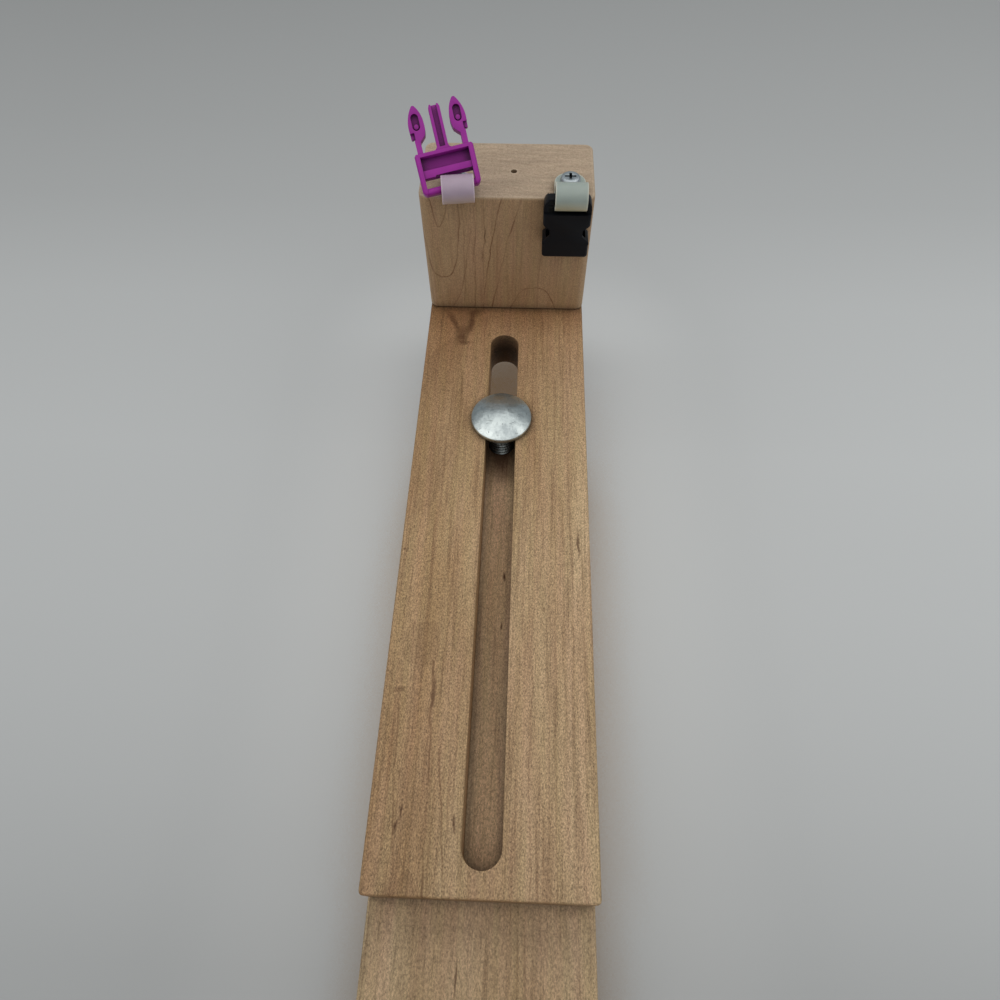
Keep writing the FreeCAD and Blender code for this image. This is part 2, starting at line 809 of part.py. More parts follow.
def make_male_buckle(label, b, bar_reach, bar_depth, bar_round, saddle=None, saddle_end=None):
    """The pronged half. The local origin is on the clip loop's axis, Y runs towards the prong
    tips and Z comes out of the front face. bar_reach is how far the end bar's inner edge
    stands from the loop's axis. A saddle is a radius to hollow the middle bar by, from the
    right rail to saddle_end."""
    body = new_body(label)
    half = b.width / 2
    inner = b.inner_width / 2
    face = b.depth / 2
    bar_far = bar_reach
    bar_near = bar_reach - b.bar
    middle_low = bar_far + b.strap_slot
    middle_high = middle_low + b.middle_bar
    window_high = middle_high + b.window
    shoulder = bar_reach + b.shoulder_line
    corner = b.corner
    frame = new_sketch(body, "XY", label + "_frame")
    outline(frame, [
        (corner - half, bar_near),
        (half - corner, bar_near, corner),
        (half, bar_near + corner),
        (half, shoulder - 0.6),
        (half - 0.6, shoulder),
        (0.6 - half, shoulder),
        (-half, shoulder - 0.6),
        (-half, bar_near + corner, corner),
    ])
    pad(body, frame, b.depth, label + "_block", both=True)
    # the open end: everything between the rails is cut away and the bars are put back
    gap = new_sketch(body, "XY", label + "_open")
    rectangle(gap, -inner, inner, bar_near - 1, middle_low)
    pocket(body, gap, label + "_open_cut")
    window = new_sketch(body, "XY", label + "_window", face)
    rectangle(window, -inner, inner, middle_high, window_high)
    pocket(body, window, label + "_window_cut", b.depth - s.window_floor)
    step = new_sketch(body, "XY", label + "_step", face)
    rectangle(step, -inner, inner, middle_low - 0.5, middle_high + 0.5)
    pocket(body, step, label + "_step_cut", s.bar_setback)
    if saddle is not None:
        # the middle bar is hollowed to clear a strap that crosses the slot aslant
        hollow = new_sketch(body, "YZ", label + "_saddle", inner)
        circle(hollow, 0, 0, saddle)
        pocket(body, hollow, label + "_saddle_cut", inner - saddle_end)
    fillet(body, b.rail_round, label + "_rail_ends",
           lambda edge, middle: near(middle.y, bar_near.value) and near(abs(middle.z), face.value)
           and edge.Curve.TypeId == "Part::GeomLine")
    strap_bar(body, inner + 0.4, bar_near, bar_far, bar_depth, bar_round, label + "_end_bar")
    # guide rail between the prongs, grooved on both faces
    guide = new_sketch(body, "XY", label + "_guide")
    side = s.guide_width / 2
    flare = 1.5
    guide_end = shoulder + b.guide_length
    outline(guide, [
        (side + flare, shoulder - 0.3),
        (side + flare, shoulder, -flare),
        (side, shoulder + flare),
        (side, guide_end - 1.0),
        (side - 0.45, guide_end),
        (0.45 - side, guide_end),
        (-side, guide_end - 1.0),
        (-side, shoulder + flare, -flare),
        (-side - flare, shoulder),
        (-side - flare, shoulder - 0.3),
    ])
    pad(body, guide, b.prong_depth, label + "_guide_rail", both=True)
    for sign, name in ((1, "_front_groove"), (-1, "_back_groove")):
        groove = new_sketch(body, "XY", label + name, b.prong_depth / 2 * sign)
        rectangle(groove, -s.groove_width / 2, s.groove_width / 2, shoulder + 0.9, guide_end + 1)
        pocket(body, groove, label + name + "_cut", s.groove_depth, down=sign < 0)
    # one springy prong, and its mirror image
    prong = new_sketch(body, "XY", label + "_prong")
    outer = half - 1.4
    catch = shoulder + b.collar + s.prong_gap
    tip = shoulder + b.prong_length
    leaf_out = half - s.prong_gap
    leaf_in = leaf_out - s.leaf_width
    stem_in = outer - s.arm_width
    leaf_length = tip - catch
    outline(prong, [
        (stem_in, shoulder - 0.3),
        (outer, shoulder - 0.3),
        (outer, catch + 0.3),
        (outer + s.barb_step * 0.6, catch),
        (leaf_out - 0.1, catch + 0.15),
        (leaf_out, catch + leaf_length * 0.3, leaf_length * 1.05),
        (leaf_in + s.leaf_width * 0.57, tip - 0.5, 0.75),
        (leaf_in + s.leaf_width * 0.35, tip - 0.5, leaf_length * 0.85),
        (leaf_in, catch + leaf_length * 0.42, leaf_length * 0.75),
        (leaf_in + 0.5, catch + leaf_length * 0.05),
        (stem_in, catch - 1.3),
    ])
    right = pad(body, prong, b.prong_depth, label + "_right_prong", both=True)
    doc.recompute()
    dimples = []
    for sign, name in ((1, "_front_dimple"), (-1, "_back_dimple")):
        dimple = new_sketch(body, "XY", label + name, b.prong_depth / 2 * sign)
        middle_x = leaf_in + s.leaf_width * 0.5
        middle_y = catch + leaf_length * 0.48
        wide = s.leaf_width * 0.24
        tall = leaf_length * 0.13
        outline(dimple, [
            (middle_x + wide, middle_y - tall),
            (middle_x + wide, middle_y + tall, wide),
            (middle_x - wide, middle_y + tall),
            (middle_x - wide, middle_y - tall, wide),
        ])
        dimples.append(pocket(body, dimple, label + name + "_cut", s.dimple_depth, down=sign < 0))
        boss = new_sketch(body, "XY", label + name + "_boss", (b.prong_depth / 2 - s.dimple_depth - 0.1) * sign)
        circle(boss, middle_x, middle_y - tall, s.boss_radius)
        dimples.append(pad(body, boss, s.boss_height + 0.1, label + name + "_boss_pad", down=sign < 0))
        barb = new_sketch(body, "XY", label + name + "_barb", b.prong_depth / 2 * sign)
        rectangle(barb, leaf_out - s.barb_recess_width, leaf_out + 1, catch - 0.5, catch + s.barb_recess_height)
        dimples.append(pocket(body, barb, label + name + "_barb_cut", s.barb_recess_depth, down=sign < 0))
    mirror = body.newObject("PartDesign::Mirrored", label + "_left_prong")
    mirror.Originals = [right] + dimples
    plane = [item for item in body.Origin.OriginFeatures if item.Role == "YZ_Plane"][0]
    mirror.MirrorPlane = (plane, [""])
    body.Tip = mirror
    doc.recompute()
    return body


def make_female_buckle(label, b, bar_reach):
    """The hollow half. The local origin is on the clip loop's axis, Y runs towards the mouth
    and Z comes out of the front face."""
    body = new_body(label)
    half = b.width / 2
    inner = b.inner_width / 2
    face = b.female_depth / 2
    wall = s.moulding_wall
    bar_far = bar_reach
    bar_near = bar_reach - b.bar
    hollow_low = bar_reach + b.hollow_line
    mouth = bar_reach + b.mouth_line
    catch = bar_reach + b.catch_line
    rail_end = bar_near - 0.1
    waist = half * 0.7
    notch_high = catch + 0.2
    notch_low = notch_high - 7.2
    notch_mid = notch_high - 3.8
    case = new_sketch(body, "XY", label + "_case")
    outline(case, [
        (s.case_round - half, rail_end),
        (half - s.case_round, rail_end, s.case_round),
        (half, rail_end + s.case_round),
        (half, notch_low),
        (waist, notch_mid - 1.3),
        (waist, notch_mid + 1.3),
        (half - 0.5, notch_high - 0.5, 1.0),
        (half, notch_high + 0.5),
        (half, mouth - 1.2, 1.2),
        (half - 1.2, mouth),
        (1.2 - half, mouth, 1.2),
        (-half, mouth - 1.2),
        (-half, notch_high + 0.5, 1.0),
        (0.5 - half, notch_high - 0.5),
        (-waist, notch_mid + 1.3),
        (-waist, notch_mid - 1.3),
        (-half, notch_low),
        (-half, rail_end + s.case_round, s.case_round),
    ])
    pad(body, case, b.female_depth, label + "_shell", both=True)
    # the strap end is thinner than the case
    slot_high = bar_far + b.strap_slot
    relief = (b.female_depth - b.depth) / 2
    for sign, name in ((1, "_front_relief"), (-1, "_back_relief")):
        cut = new_sketch(body, "XY", label + name, face * sign)
        rectangle(cut, -half - 1, half + 1, rail_end - 1, slot_high - 0.2)
        pocket(body, cut, label + name + "_cut", relief, down=sign < 0)
    opening = new_sketch(body, "XY", label + "_open")
    rectangle(opening, -inner, inner, bar_near - 1.5, slot_high)
    pocket(body, opening, label + "_open_cut")
    # the hollow for the prongs, cut in from the mouth
    hollow = new_sketch(body, "XY", label + "_hollow")
    rectangle(hollow, wall - half, half - wall, hollow_low, mouth + 1)
    pocket(body, hollow, label + "_hollow_cut", b.female_depth - wall * 2, both=True)
    # ribs that the guide's grooves run on
    rib_deep = s.rib_height
    for sign, name in ((1, "_front_rib"), (-1, "_back_rib")):
        rib = new_sketch(body, "XY", label + name, (face - wall + 0.1) * sign)
        half_rib = s.groove_width / 2 - s.prong_gap / 2
        rectangle(rib, -half_rib, half_rib, hollow_low - 0.2, mouth - 1.5)
        pad(body, rib, rib_deep, label + name + "_pad", down=sign > 0)
    doc.recompute()
    fillet(body, s.bar_setback * 0.8, label + "_soft_edges",
           lambda edge, middle: near(abs(middle.z), face.value)
           and near(abs(middle.x), half.value) and edge.Curve.TypeId == "Part::GeomLine")
    strap_bar(body, inner + 0.4, bar_near, bar_far, s.bar_depth, s.bar_round, label + "_strap_bar")
    # the bar's ends follow the rounded corners
    for sign, name in ((1, "_right_corner"), (-1, "_left_corner")):
        corner = new_sketch(body, "XY", label + name)
        arc_end = (half - s.case_round) * sign
        beyond = (half + 1) * sign
        outline(corner, [
            (arc_end, rail_end - 1),
            (beyond, rail_end - 1),
            (beyond, rail_end + s.case_round),
            (half * sign, rail_end + s.case_round, s.case_round * -sign),
            (arc_end, rail_end),
        ])
        pocket(body, corner, label + name + "_cut")
    return body


# Build every piece
base_board = make_base_board()
slide_board = make_slide_board()
far_block = make_block("far_block", s.far_block_height, True)
place(far_block, 0, far_face, slide_top)
near_block = make_block("near_block", near_block_height, False)
half_turn = Rotation(Vector(0, 0, 1), 180)
place(near_block, 0, near_face, slide_level, half_turn)
carriage_bolt = make_carriage_bolt()
flat_washer = make_flat_washer()
wing_nut = make_wing_nut()

feet = [
    make_foot("foot_near_left", -foot_x, foot_near_y),
    make_foot("foot_near_right", foot_x, foot_near_y),
    make_foot("foot_far_left", -foot_x, foot_far_y),
    make_foot("foot_far_right", foot_x, foot_far_y),
]

# Clips. The far left one is pulled up and aside by its leaning buckle
far_right_clip = make_clip("far_right_clip", square_clip)
far_left_clip = make_clip("far_left_clip", raised_clip)
near_right_clip = make_clip("near_right_clip", square_clip)
near_left_clip = make_clip("near_left_clip", square_clip)
far_clip_y = far_face + s.clip_setback
near_clip_y = near_face - s.clip_setback
clip_turn = Rotation(Vector(0, 0, 1), 180 + s.raised_clip_yaw.value)
place(far_right_clip, right_clip_x, far_clip_y, block_top, half_turn)
place(far_left_clip, left_clip_x, far_clip_y, block_top, clip_turn)
place(near_right_clip, right_clip_x, near_clip_y, block_top)
place(near_left_clip, left_clip_x, near_clip_y, block_top)

# Buckles. Where the strap can hold the bar square, the bar lies just inside the loop.
# On the leaning buckle the strap sits near the right end of its slot
male_shift = (s.large_inner_width - s.strap_width) / 2 - s.cocked_side_play
far_male_buckle = make_male_buckle(
    "far_male_buckle", large_buckle, s.large_cocked_bar_reach, s.cocked_bar_depth, s.cocked_bar_round,
    saddle=s.loop_radius + s.saddle_play, saddle_end=male_shift - s.strap_width / 2 - s.saddle_side_play)
near_female_buckle = make_female_buckle("near_female_buckle", large_buckle, square_reach)
far_female_buckle = make_female_buckle("far_female_buckle", small_buckle, square_reach)
near_male_buckle = make_male_buckle(
    "near_male_buckle", small_buckle, square_reach, s.bar_depth, s.bar_round)

hanging_far = turned(Vector(-1, 0, 0), Vector(0, 0, -1), Vector(0, -1, 0))
hanging_near = turned(Vector(1, 0, 0), Vector(0, 0, -1), Vector(0, 1, 0))
loop_level = block_top + s.loop_radius
far_loop_y = far_clip_y - s.loop_reach
near_loop_y = near_clip_y + s.loop_reach
place(far_female_buckle, right_buckle_x, far_loop_y, loop_level, hanging_far)
place(near_male_buckle, right_buckle_x, near_loop_y, loop_level, hanging_near)
place(near_female_buckle, left_clip_x, near_loop_y, loop_level, hanging_near)

# The far male buckle leans back over the block and a little to the left
yaw = math.radians(s.raised_clip_yaw.value)
back = math.radians(s.lean_back.value)
aside = math.radians(s.lean_aside.value)
axis = Vector(math.cos(yaw), math.sin(yaw), 0)
level = Vector(-math.sin(yaw), math.cos(yaw), 0)
upward = level * math.cos(back) + Vector(0, 0, 1) * math.sin(back)
across = axis * math.cos(aside) + upward * math.sin(aside)
along = upward * math.cos(aside) - axis * math.sin(aside)
leaning = turned(across, along, across.cross(along))
male_x = left_clip_x + s.raised_loop_reach * math.sin(yaw)
male_y = far_clip_y - s.raised_loop_reach * math.cos(yaw)
place(
    far_male_buckle,
    male_x - male_shift * across.x,
    male_y - male_shift * across.y,
    block_top + s.raised_loop_height - male_shift * across.z,
    leaning,
)

# Screws
foot_screw = screw_solid("foot_screw_pattern", s.foot_screw_diameter, s.foot_screw_length,
                         s.foot_screw_head, s.foot_screw_head_height)
block_screw = screw_solid("block_screw_pattern", s.block_screw_diameter, s.block_screw_length,
                          s.block_screw_head, s.block_screw_head_height, countersunk=True)
clip_screw = screw_solid("clip_screw_pattern", s.clip_screw_diameter,
                         s.clip_screw_length + s.clip_screw_head_height,
                         s.clip_screw_head, s.clip_screw_head_height)
point_up = Rotation(Vector(1, 0, 0), 180)
point_down = Rotation()
foot_screw_level = s.foot_recess_depth - s.foot_height - s.foot_screw_head_height
clip_screw_level = block_top + tab_height + s.clip_screw_head_height
screw_groups = [
    screw_group("foot_screws", foot_screw, [
        (x, y, foot_screw_level, point_up) for x in (-foot_x, foot_x) for y in (foot_near_y, foot_far_y)]),
    screw_group("far_block_screws", block_screw, [
        (x, far_face + s.block_depth / 2, slide_level, point_up) for x in (-block_screw_x, block_screw_x)]),
    screw_group("near_block_screws", block_screw, [
        (x, near_face - s.block_depth / 2, 0, point_up) for x in (-block_screw_x, block_screw_x)]),
    screw_group("far_clip_screws", clip_screw, [
        (x, far_clip_y, clip_screw_level, point_down) for x in (left_clip_x, right_clip_x)]),
    screw_group("near_clip_screws", clip_screw, [
        (x, near_clip_y, clip_screw_level, point_down) for x in (left_clip_x, right_clip_x)]),
]

nodes = [
    base_board, slide_board, far_block, near_block, carriage_bolt, flat_washer, wing_nut,
    *feet, far_left_clip, far_right_clip, near_left_clip, near_right_clip,
    far_male_buckle, far_female_buckle, near_female_buckle, near_male_buckle, *screw_groups,
]

# Nothing is written until every object has worked out
doc.recompute()
for item in doc.Objects:
    if "Invalid" in item.State or "Error" in item.State:
        raise ValueError(item.Label + " failed: " + ", ".join(item.State))
for item in nodes:
    if item.Shape.isNull() or not item.Shape.isValid():
        raise ValueError(item.Label + " has no valid shape")

os.makedirs("parts", exist_ok=True)
for item in nodes:
    item.Shape.exportStep("parts/" + item.Label + ".step")
    box = item.Shape.BoundBox
    print("%-20s solids %d volume %9.1f  X %7.1f %7.1f  Y %7.1f %7.1f  Z %6.1f %6.1f" % (
        item.Label, len(item.Shape.Solids), item.Shape.Volume,
        box.XMin, box.XMax, box.YMin, box.YMax, box.ZMin, box.ZMax))
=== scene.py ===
# %% [markdown]
# # A wooden jig for knotting cord bracelets
#
# The jig is two maple boards, one sliding on the other, with an upright block at the outer end of each.
# A carriage bolt through the slide's long slot clamps the boards, and nylon clips on the blocks hold
# side-release buckles by their strap bars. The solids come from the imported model, and every piece here
# stands where its solid does. This lesson gives each piece its finish, takes the razor edge off it, and
# remakes the bolt with its thread, because sharp edges and smooth shanks are what give a solid away.

# %% Load the model
import bpy
import bmesh
import math
from collections import namedtuple
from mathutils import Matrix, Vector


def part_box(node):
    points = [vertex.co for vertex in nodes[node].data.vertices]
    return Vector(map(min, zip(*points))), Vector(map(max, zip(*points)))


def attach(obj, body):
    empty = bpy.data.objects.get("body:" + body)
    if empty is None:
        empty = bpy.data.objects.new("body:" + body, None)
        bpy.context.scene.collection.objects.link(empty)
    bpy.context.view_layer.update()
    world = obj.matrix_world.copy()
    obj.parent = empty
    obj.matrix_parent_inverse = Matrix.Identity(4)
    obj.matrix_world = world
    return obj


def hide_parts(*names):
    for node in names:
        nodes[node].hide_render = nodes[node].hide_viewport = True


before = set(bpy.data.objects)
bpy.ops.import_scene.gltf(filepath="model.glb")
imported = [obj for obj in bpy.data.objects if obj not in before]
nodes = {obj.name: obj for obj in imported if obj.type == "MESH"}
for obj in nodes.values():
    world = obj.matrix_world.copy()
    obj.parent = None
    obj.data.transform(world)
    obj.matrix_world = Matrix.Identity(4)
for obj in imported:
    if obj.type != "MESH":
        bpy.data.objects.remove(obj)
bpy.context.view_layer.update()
from types import SimpleNamespace
from mathutils import Vector

# %% [markdown]
# Blender works in metres and a maker works in millimetres, so every length below is written in
# millimetres and multiplied by one value. Colours are written as a paint shop would, in sRGB hex, and one
# function turns them into the linear values that light is worked out with.

# %% Units and colours
MM = 0.001


def linear(code):
    """An sRGB hex colour as the linear red, green, blue and alpha that shaders need."""
    parts = [int(code[i:i + 2], 16) / 255 for i in (0, 2, 4)]
    parts = [p / 12.92 if p <= 0.04045 else ((p + 0.055) / 1.055) ** 2.4 for p in parts]
    return (*parts, 1.0)


print("maple in linear light:", [round(c, 3) for c in linear("b59a7b")])

# %% [markdown]
# A procedural material is a tree of small nodes. The first helper adds one node of any kind, sets it up
# and wires its inputs, so that a material reads from top to bottom like a recipe. An input that is given
# as another node becomes a link from that node's first output, one that is given as an output becomes a
# link from it, and anything else becomes the socket's own value.


# %% Material helpers
def add(tree, kind, inputs=None, stops=None, **settings):
    """Add a node with its settings, its colour stops and its links, and hand the node back."""
    node = tree.nodes.new("ShaderNode" + kind)
    for name, value in settings.items():
        setattr(node, name, value)
    for socket, value in (inputs or {}).items():
        if isinstance(value, bpy.types.Node):
            value = next(output for output in value.outputs if output.enabled)
        if isinstance(value, bpy.types.NodeSocket):
            tree.links.new(value, node.inputs[socket])
        else:
            node.inputs[socket].default_value = value
    if stops:
        band = node.color_ramp
        while len(band.elements) < len(stops):
            band.elements.new(0.5)
        for element, (place, colour) in zip(band.elements, stops):
            element.position = place
            element.color = colour
    return node


def new_material(name):
    """An empty material, ready for a recipe."""
    material = bpy.data.materials.new(name)
    material.use_nodes = True
    material.node_tree.nodes.clear()
    return material, material.node_tree


def surface(tree, inputs):
    """The last two nodes of every recipe: the shader with its inputs, and the output."""
    add(tree, "OutputMaterial", {"Surface": add(tree, "BsdfPrincipled", inputs)})


print("material helpers ready")

# %% [markdown]
# ## Maple
#
# The boards are flat-sawn hard maple, sanded and left bare. Maple is a fine, even wood: what the eye
# reads is a soft drift between paler and browner zones, a salt-and-pepper of tiny ray flecks, thin brown
# lines where each year's growth ends, and now and then a mineral streak. A picture of wood would repeat
# and would need its own seams at the corners, so the pattern is made in three dimensions, and faces,
# edges and end grain all agree with each other as they do in a real board. The first thing to know at any
# point is where it lies in the board: how far across the grain and how far along it.


# %% Where a point lies in the wood
def wood_spot(tree, along, seed):
    """A point's place in the board in mm, its place in the pattern, and the way its face looks.

    along is the axis that the grain follows, and seed moves the pattern so that no two boards match."""
    place = add(tree, "TexCoord")
    millimetres = add(tree, "Mapping", {"Vector": place.outputs["Object"], "Scale": (1000, 1000, 1000)})
    apart = add(tree, "SeparateXYZ", {0: millimetres})
    x, y, z = apart.outputs[0], apart.outputs[1], apart.outputs[2]
    length, other = (y, z) if along == "Y" else (z, y)
    grain = add(tree, "CombineXYZ", {0: x, 1: other, 2: length})
    own = add(tree, "VectorMath", {0: grain, 1: (seed * 37.0, seed * 11.0, seed * 53.0)})
    facing = add(tree, "NewGeometry")
    turned = add(tree, "SeparateXYZ", {0: facing.outputs["Normal"]})
    level = add(tree, "Math", {0: turned.outputs[2]}, operation="ABSOLUTE")
    upright = add(tree, "Math", {0: 1.0, 1: level}, operation="SUBTRACT")
    return SimpleNamespace(millimetres=millimetres, x=x, length=length, grain=grain, own=own,
                           forward=turned.outputs[1], upward=turned.outputs[2], upright=upright)


print("places in the wood ready")

# %% [markdown]
# Year rings are cylinders round a pith line that lies outside the board. Slow noise bends them, as the
# trunk bent while it grew. A sawtooth of the distance from the pith counts the years, and a ramp darkens
# the end of each. Some years leave a strong line and some hardly one, so each year draws its own luck.


# %% Year rings
def year_rings(tree, spot, pith, gap, strength, bend=6.0):
    """A point's place among the bent rings, and a mask for the brown line that ends each year.

    pith is the centre of the rings in mm across the grain, gap a year's growth in mm, and bend how far
    the rings wander, in mm."""
    # slow bends, over about 33 mm across the grain and 83 mm along it
    slow = add(tree, "Mapping", {"Vector": spot.own, "Scale": (0.030, 0.030, 0.012)})
    wander = add(tree, "TexNoise", {"Vector": slow, "Scale": 1.0, "Detail": 2.0, "Roughness": 0.45})
    centred = add(tree, "VectorMath", {0: wander.outputs["Color"], 1: (0.5, 0.5, 0.5)},
                  operation="SUBTRACT")
    bent = add(tree, "VectorMath", {0: centred, 1: (bend, bend, 0), 2: spot.grain},
               operation="MULTIPLY_ADD")
    from_pith = add(tree, "VectorMath", {0: bent, 1: (pith[0], pith[1], 0)}, operation="SUBTRACT")
    flat = add(tree, "VectorMath", {0: from_pith, 1: (1, 1, 0)}, operation="MULTIPLY")
    radius = add(tree, "VectorMath", {0: flat}, operation="LENGTH")
    years = add(tree, "Math", {0: radius, 1: gap}, operation="DIVIDE")
    year = add(tree, "Math", {0: years}, operation="FRACT")
    growth = ((0.0, 0.3), (0.06, 0.0), (0.72, 0.06), (0.93, 0.42), (0.985, 1.0))
    ring = add(tree, "ValToRGB", {"Fac": year}, stops=[(at, (dark, dark, dark, 1)) for at, dark in growth])
    count = add(tree, "Math", {0: years}, operation="FLOOR")
    luck = add(tree, "TexWhiteNoise", {"W": count}, noise_dimensions="1D")
    # the lines fade in and out, over about 14 mm across and 45 mm along
    patchy = add(tree, "Mapping", {"Vector": spot.own, "Scale": (0.07, 0.07, 0.022)})
    fading = add(tree, "TexNoise", {"Vector": patchy, "Scale": 1.0, "Detail": 3.0})
    strong = add(tree, "Math", {0: luck, 1: fading}, operation="MULTIPLY")
    share = add(tree, "Math", {0: strong, 1: strength * 2.4}, operation="MULTIPLY")
    mask = add(tree, "Math", {0: ring, 1: share}, operation="MULTIPLY", use_clamp=True)
    return bent, mask


print("year rings ready")

# %% [markdown]
# A board is never one colour. Sapwood is pale and heartwood brown, and pinker and yellower bands run
# along the grain. Along its length the tone changes as well: painted light falloff towards the ends, and
# painted shade where a block or the slide stands over it. On top of an upright block the saw has cut
# across the fibres, and that end grain is paler and greyer, with the rings showing as wavy bands.


# %% Tones of the wood
def wood_tone(tree, spot, pale, brown, shade_and_tone_along, drift=0.6, tilt=0.0):
    """The wood's colour before its fine figure.

    drift is how slowly pale wood turns brown, shade_and_tone_along gives tints at places in mm along the
    grain, which are painted light falloff and painted shade, and tilt is how much browner the wood gets
    per mm of X."""
    # zones about 12 mm wide and 90 mm long
    wide = add(tree, "Mapping", {"Vector": spot.own, "Scale": (0.085, 0.085, 0.011)})
    zones = add(tree, "TexNoise", {"Vector": wide, "Scale": 1.0, "Detail": 4.0, "Roughness": 0.6})
    zone = add(tree, "Math", {0: zones, 1: 1.0 / drift, 2: 0.5 - 0.5 / drift}, operation="MULTIPLY_ADD")
    leaning = add(tree, "Math", {0: spot.x, 1: -tilt, 2: zone}, operation="MULTIPLY_ADD", use_clamp=True)
    wood = add(tree, "Mix", {"Factor": leaning, "A": linear(pale), "B": linear(brown)}, data_type="RGBA")
    # pinker and yellower bands, about 3 mm wide and 50 mm long
    narrow = add(tree, "Mapping", {"Vector": spot.own, "Scale": (0.30, 0.30, 0.020)})
    hues = add(tree, "TexNoise", {"Vector": narrow, "Scale": 1.0, "Detail": 3.0})
    hue = add(tree, "MapRange", {"Value": hues, "From Min": 0.35, "From Max": 0.65})
    tint = add(tree, "Mix", {"Factor": hue, "A": (1.03, 0.99, 1.01, 1), "B": (0.98, 1.00, 0.95, 1)},
               data_type="RGBA")
    tinted = add(tree, "VectorMath", {0: wood, 1: tint}, operation="MULTIPLY")
    # painted light falloff and painted shade from one end of the board to the other
    first, last = shade_and_tone_along[0][0], shade_and_tone_along[-1][0]
    share = add(tree, "MapRange", {"Value": spot.length, "From Min": first, "From Max": last})
    stops = [((at - first) / (last - first), (*tint, 1)) for at, tint in shade_and_tone_along]
    tones = add(tree, "ValToRGB", {"Fac": share}, stops=stops)
    return add(tree, "VectorMath", {0: tinted, 1: tones}, operation="MULTIPLY")


def sanded_top(tree, spot, bent, wood, colour):
    """Sanded end grain on faces that look up."""
    top = add(tree, "MapRange", {"Value": spot.upward, "From Min": 0.4, "From Max": 0.9, "To Min": 0.0,
                                 "To Max": 0.8})
    paler = add(tree, "Mix", {"Factor": top, "A": wood, "B": linear(colour)}, data_type="RGBA")
    # rings cut across show as wavy bands, about 2 mm wide, that run slantwise over the top
    slant = add(tree, "Mapping", {"Vector": bent, "Scale": (0.06, 0.50, 0.0),
                                  "Rotation": (0, 0, math.radians(20))})
    bands = add(tree, "TexNoise", {"Vector": slant, "Scale": 1.0, "Detail": 4.0, "Roughness": 0.6})
    band = add(tree, "MapRange", {"Value": bands, "From Min": 0.35, "From Max": 0.65, "To Min": 0.84,
                                  "To Max": 1.13})
    banded = add(tree, "VectorMath", {0: paler, "Scale": band}, operation="SCALE")
    return add(tree, "Mix", {"Factor": top, "A": paler, "B": banded}, data_type="RGBA")


print("wood tones ready")

# %% [markdown]
# What makes one board this board is its few marks: the arches where rings graze the surface, a knot's
# stain, short mineral streaks, a slot's burnt end. The same records also lay painted shade on the slot's
# walls and floor round the bolt and inside a hole. Noise never puts those in the right places, and
# painting them would need a picture. So each is written down as a small record. An arch is a power curve
# and a streak is a squashed ball, and both are made ragged along the fibres so that they look grown.

# %% Marks that a board happens to have
# tip + bend * |place - centre| ** power is where the line runs, from low to high, all in mm
Line = namedtuple("Line", "centre tip bend power low high width strength")
# a centre and half sizes in mm, an angle in degrees, a strength, and whether upright walls alone have
# it, as router burn and painted shade
StainAndShade = namedtuple("StainAndShade", "centre half angle strength burnt", defaults=[False])


def line_mask(tree, u, v, length, line, fibre):
    """A mask for one growth line, drawn with u across it and v towards its tip."""
    off = add(tree, "Math", {0: u, 1: line.centre}, operation="SUBTRACT")
    side = add(tree, "Math", {0: off}, operation="ABSOLUTE")
    raised = add(tree, "Math", {0: side, 1: line.power}, operation="POWER")
    level = add(tree, "Math", {0: raised, 1: line.bend, 2: line.tip}, operation="MULTIPLY_ADD")
    miss = add(tree, "Math", {0: v, 1: level}, operation="SUBTRACT")
    size = add(tree, "Math", {0: miss}, operation="ABSOLUTE")
    # divided by the line's steepness, so that it is equally wide all along
    rate = add(tree, "Math", {0: side, 1: 2 * line.power - 2}, operation="POWER")
    steep = add(tree, "Math", {0: rate, 1: (line.power * line.bend) ** 2, 2: 1.0}, operation="MULTIPLY_ADD")
    slope = add(tree, "Math", {0: steep}, operation="SQRT")
    away = add(tree, "Math", {0: size, 1: slope}, operation="DIVIDE")
    ragged = add(tree, "Math", {0: fibre, 1: line.width * 2.0, 2: away}, operation="MULTIPLY_ADD")
    mask = add(tree, "MapRange", {"Value": ragged, "From Min": line.width * 2.1,
                                  "From Max": line.width * 0.8, "To Min": 0.0, "To Max": line.strength},
               interpolation_type="SMOOTHSTEP")
    middle, reach = (line.low + line.high) / 2, (line.high - line.low) / 2
    along = add(tree, "Math", {0: length, 1: middle, 2: reach}, operation="COMPARE")
    return add(tree, "Math", {0: mask, 1: along}, operation="MULTIPLY")


def stain_and_shade_mask(tree, place, stain_and_shade, fibre, upright):
    """A mask for one soft-edged streak or patch of painted shade: a turned ellipsoid, broken up along
    the fibres.
    """
    away = add(tree, "Mapping", {"Vector": place, "Location": stain_and_shade.centre,
                                 "Rotation": (0, 0, math.radians(stain_and_shade.angle)), "Scale": stain_and_shade.half},
               vector_type="TEXTURE")
    far = add(tree, "VectorMath", {0: away}, operation="LENGTH")
    broken = add(tree, "Math", {0: fibre, 1: 1.3, 2: far}, operation="MULTIPLY_ADD")
    mask = add(tree, "MapRange", {"Value": broken, "From Min": 1.75, "From Max": 0.95, "To Min": 0.0,
                                  "To Max": stain_and_shade.strength})
    if not stain_and_shade.burnt:
        return mask
    return add(tree, "Math", {0: mask, 1: upright}, operation="MULTIPLY")


print("marks ready")

# %% Drawing the marks
# the streak brown also paints shade round the bolt on the base, and the darker brown is router burn and
# painted shade on slot and hole walls
STREAK_AND_SHADE_BROWN, BURN_AND_SHADE_BROWN = "4a2a17", "2a1f1a"


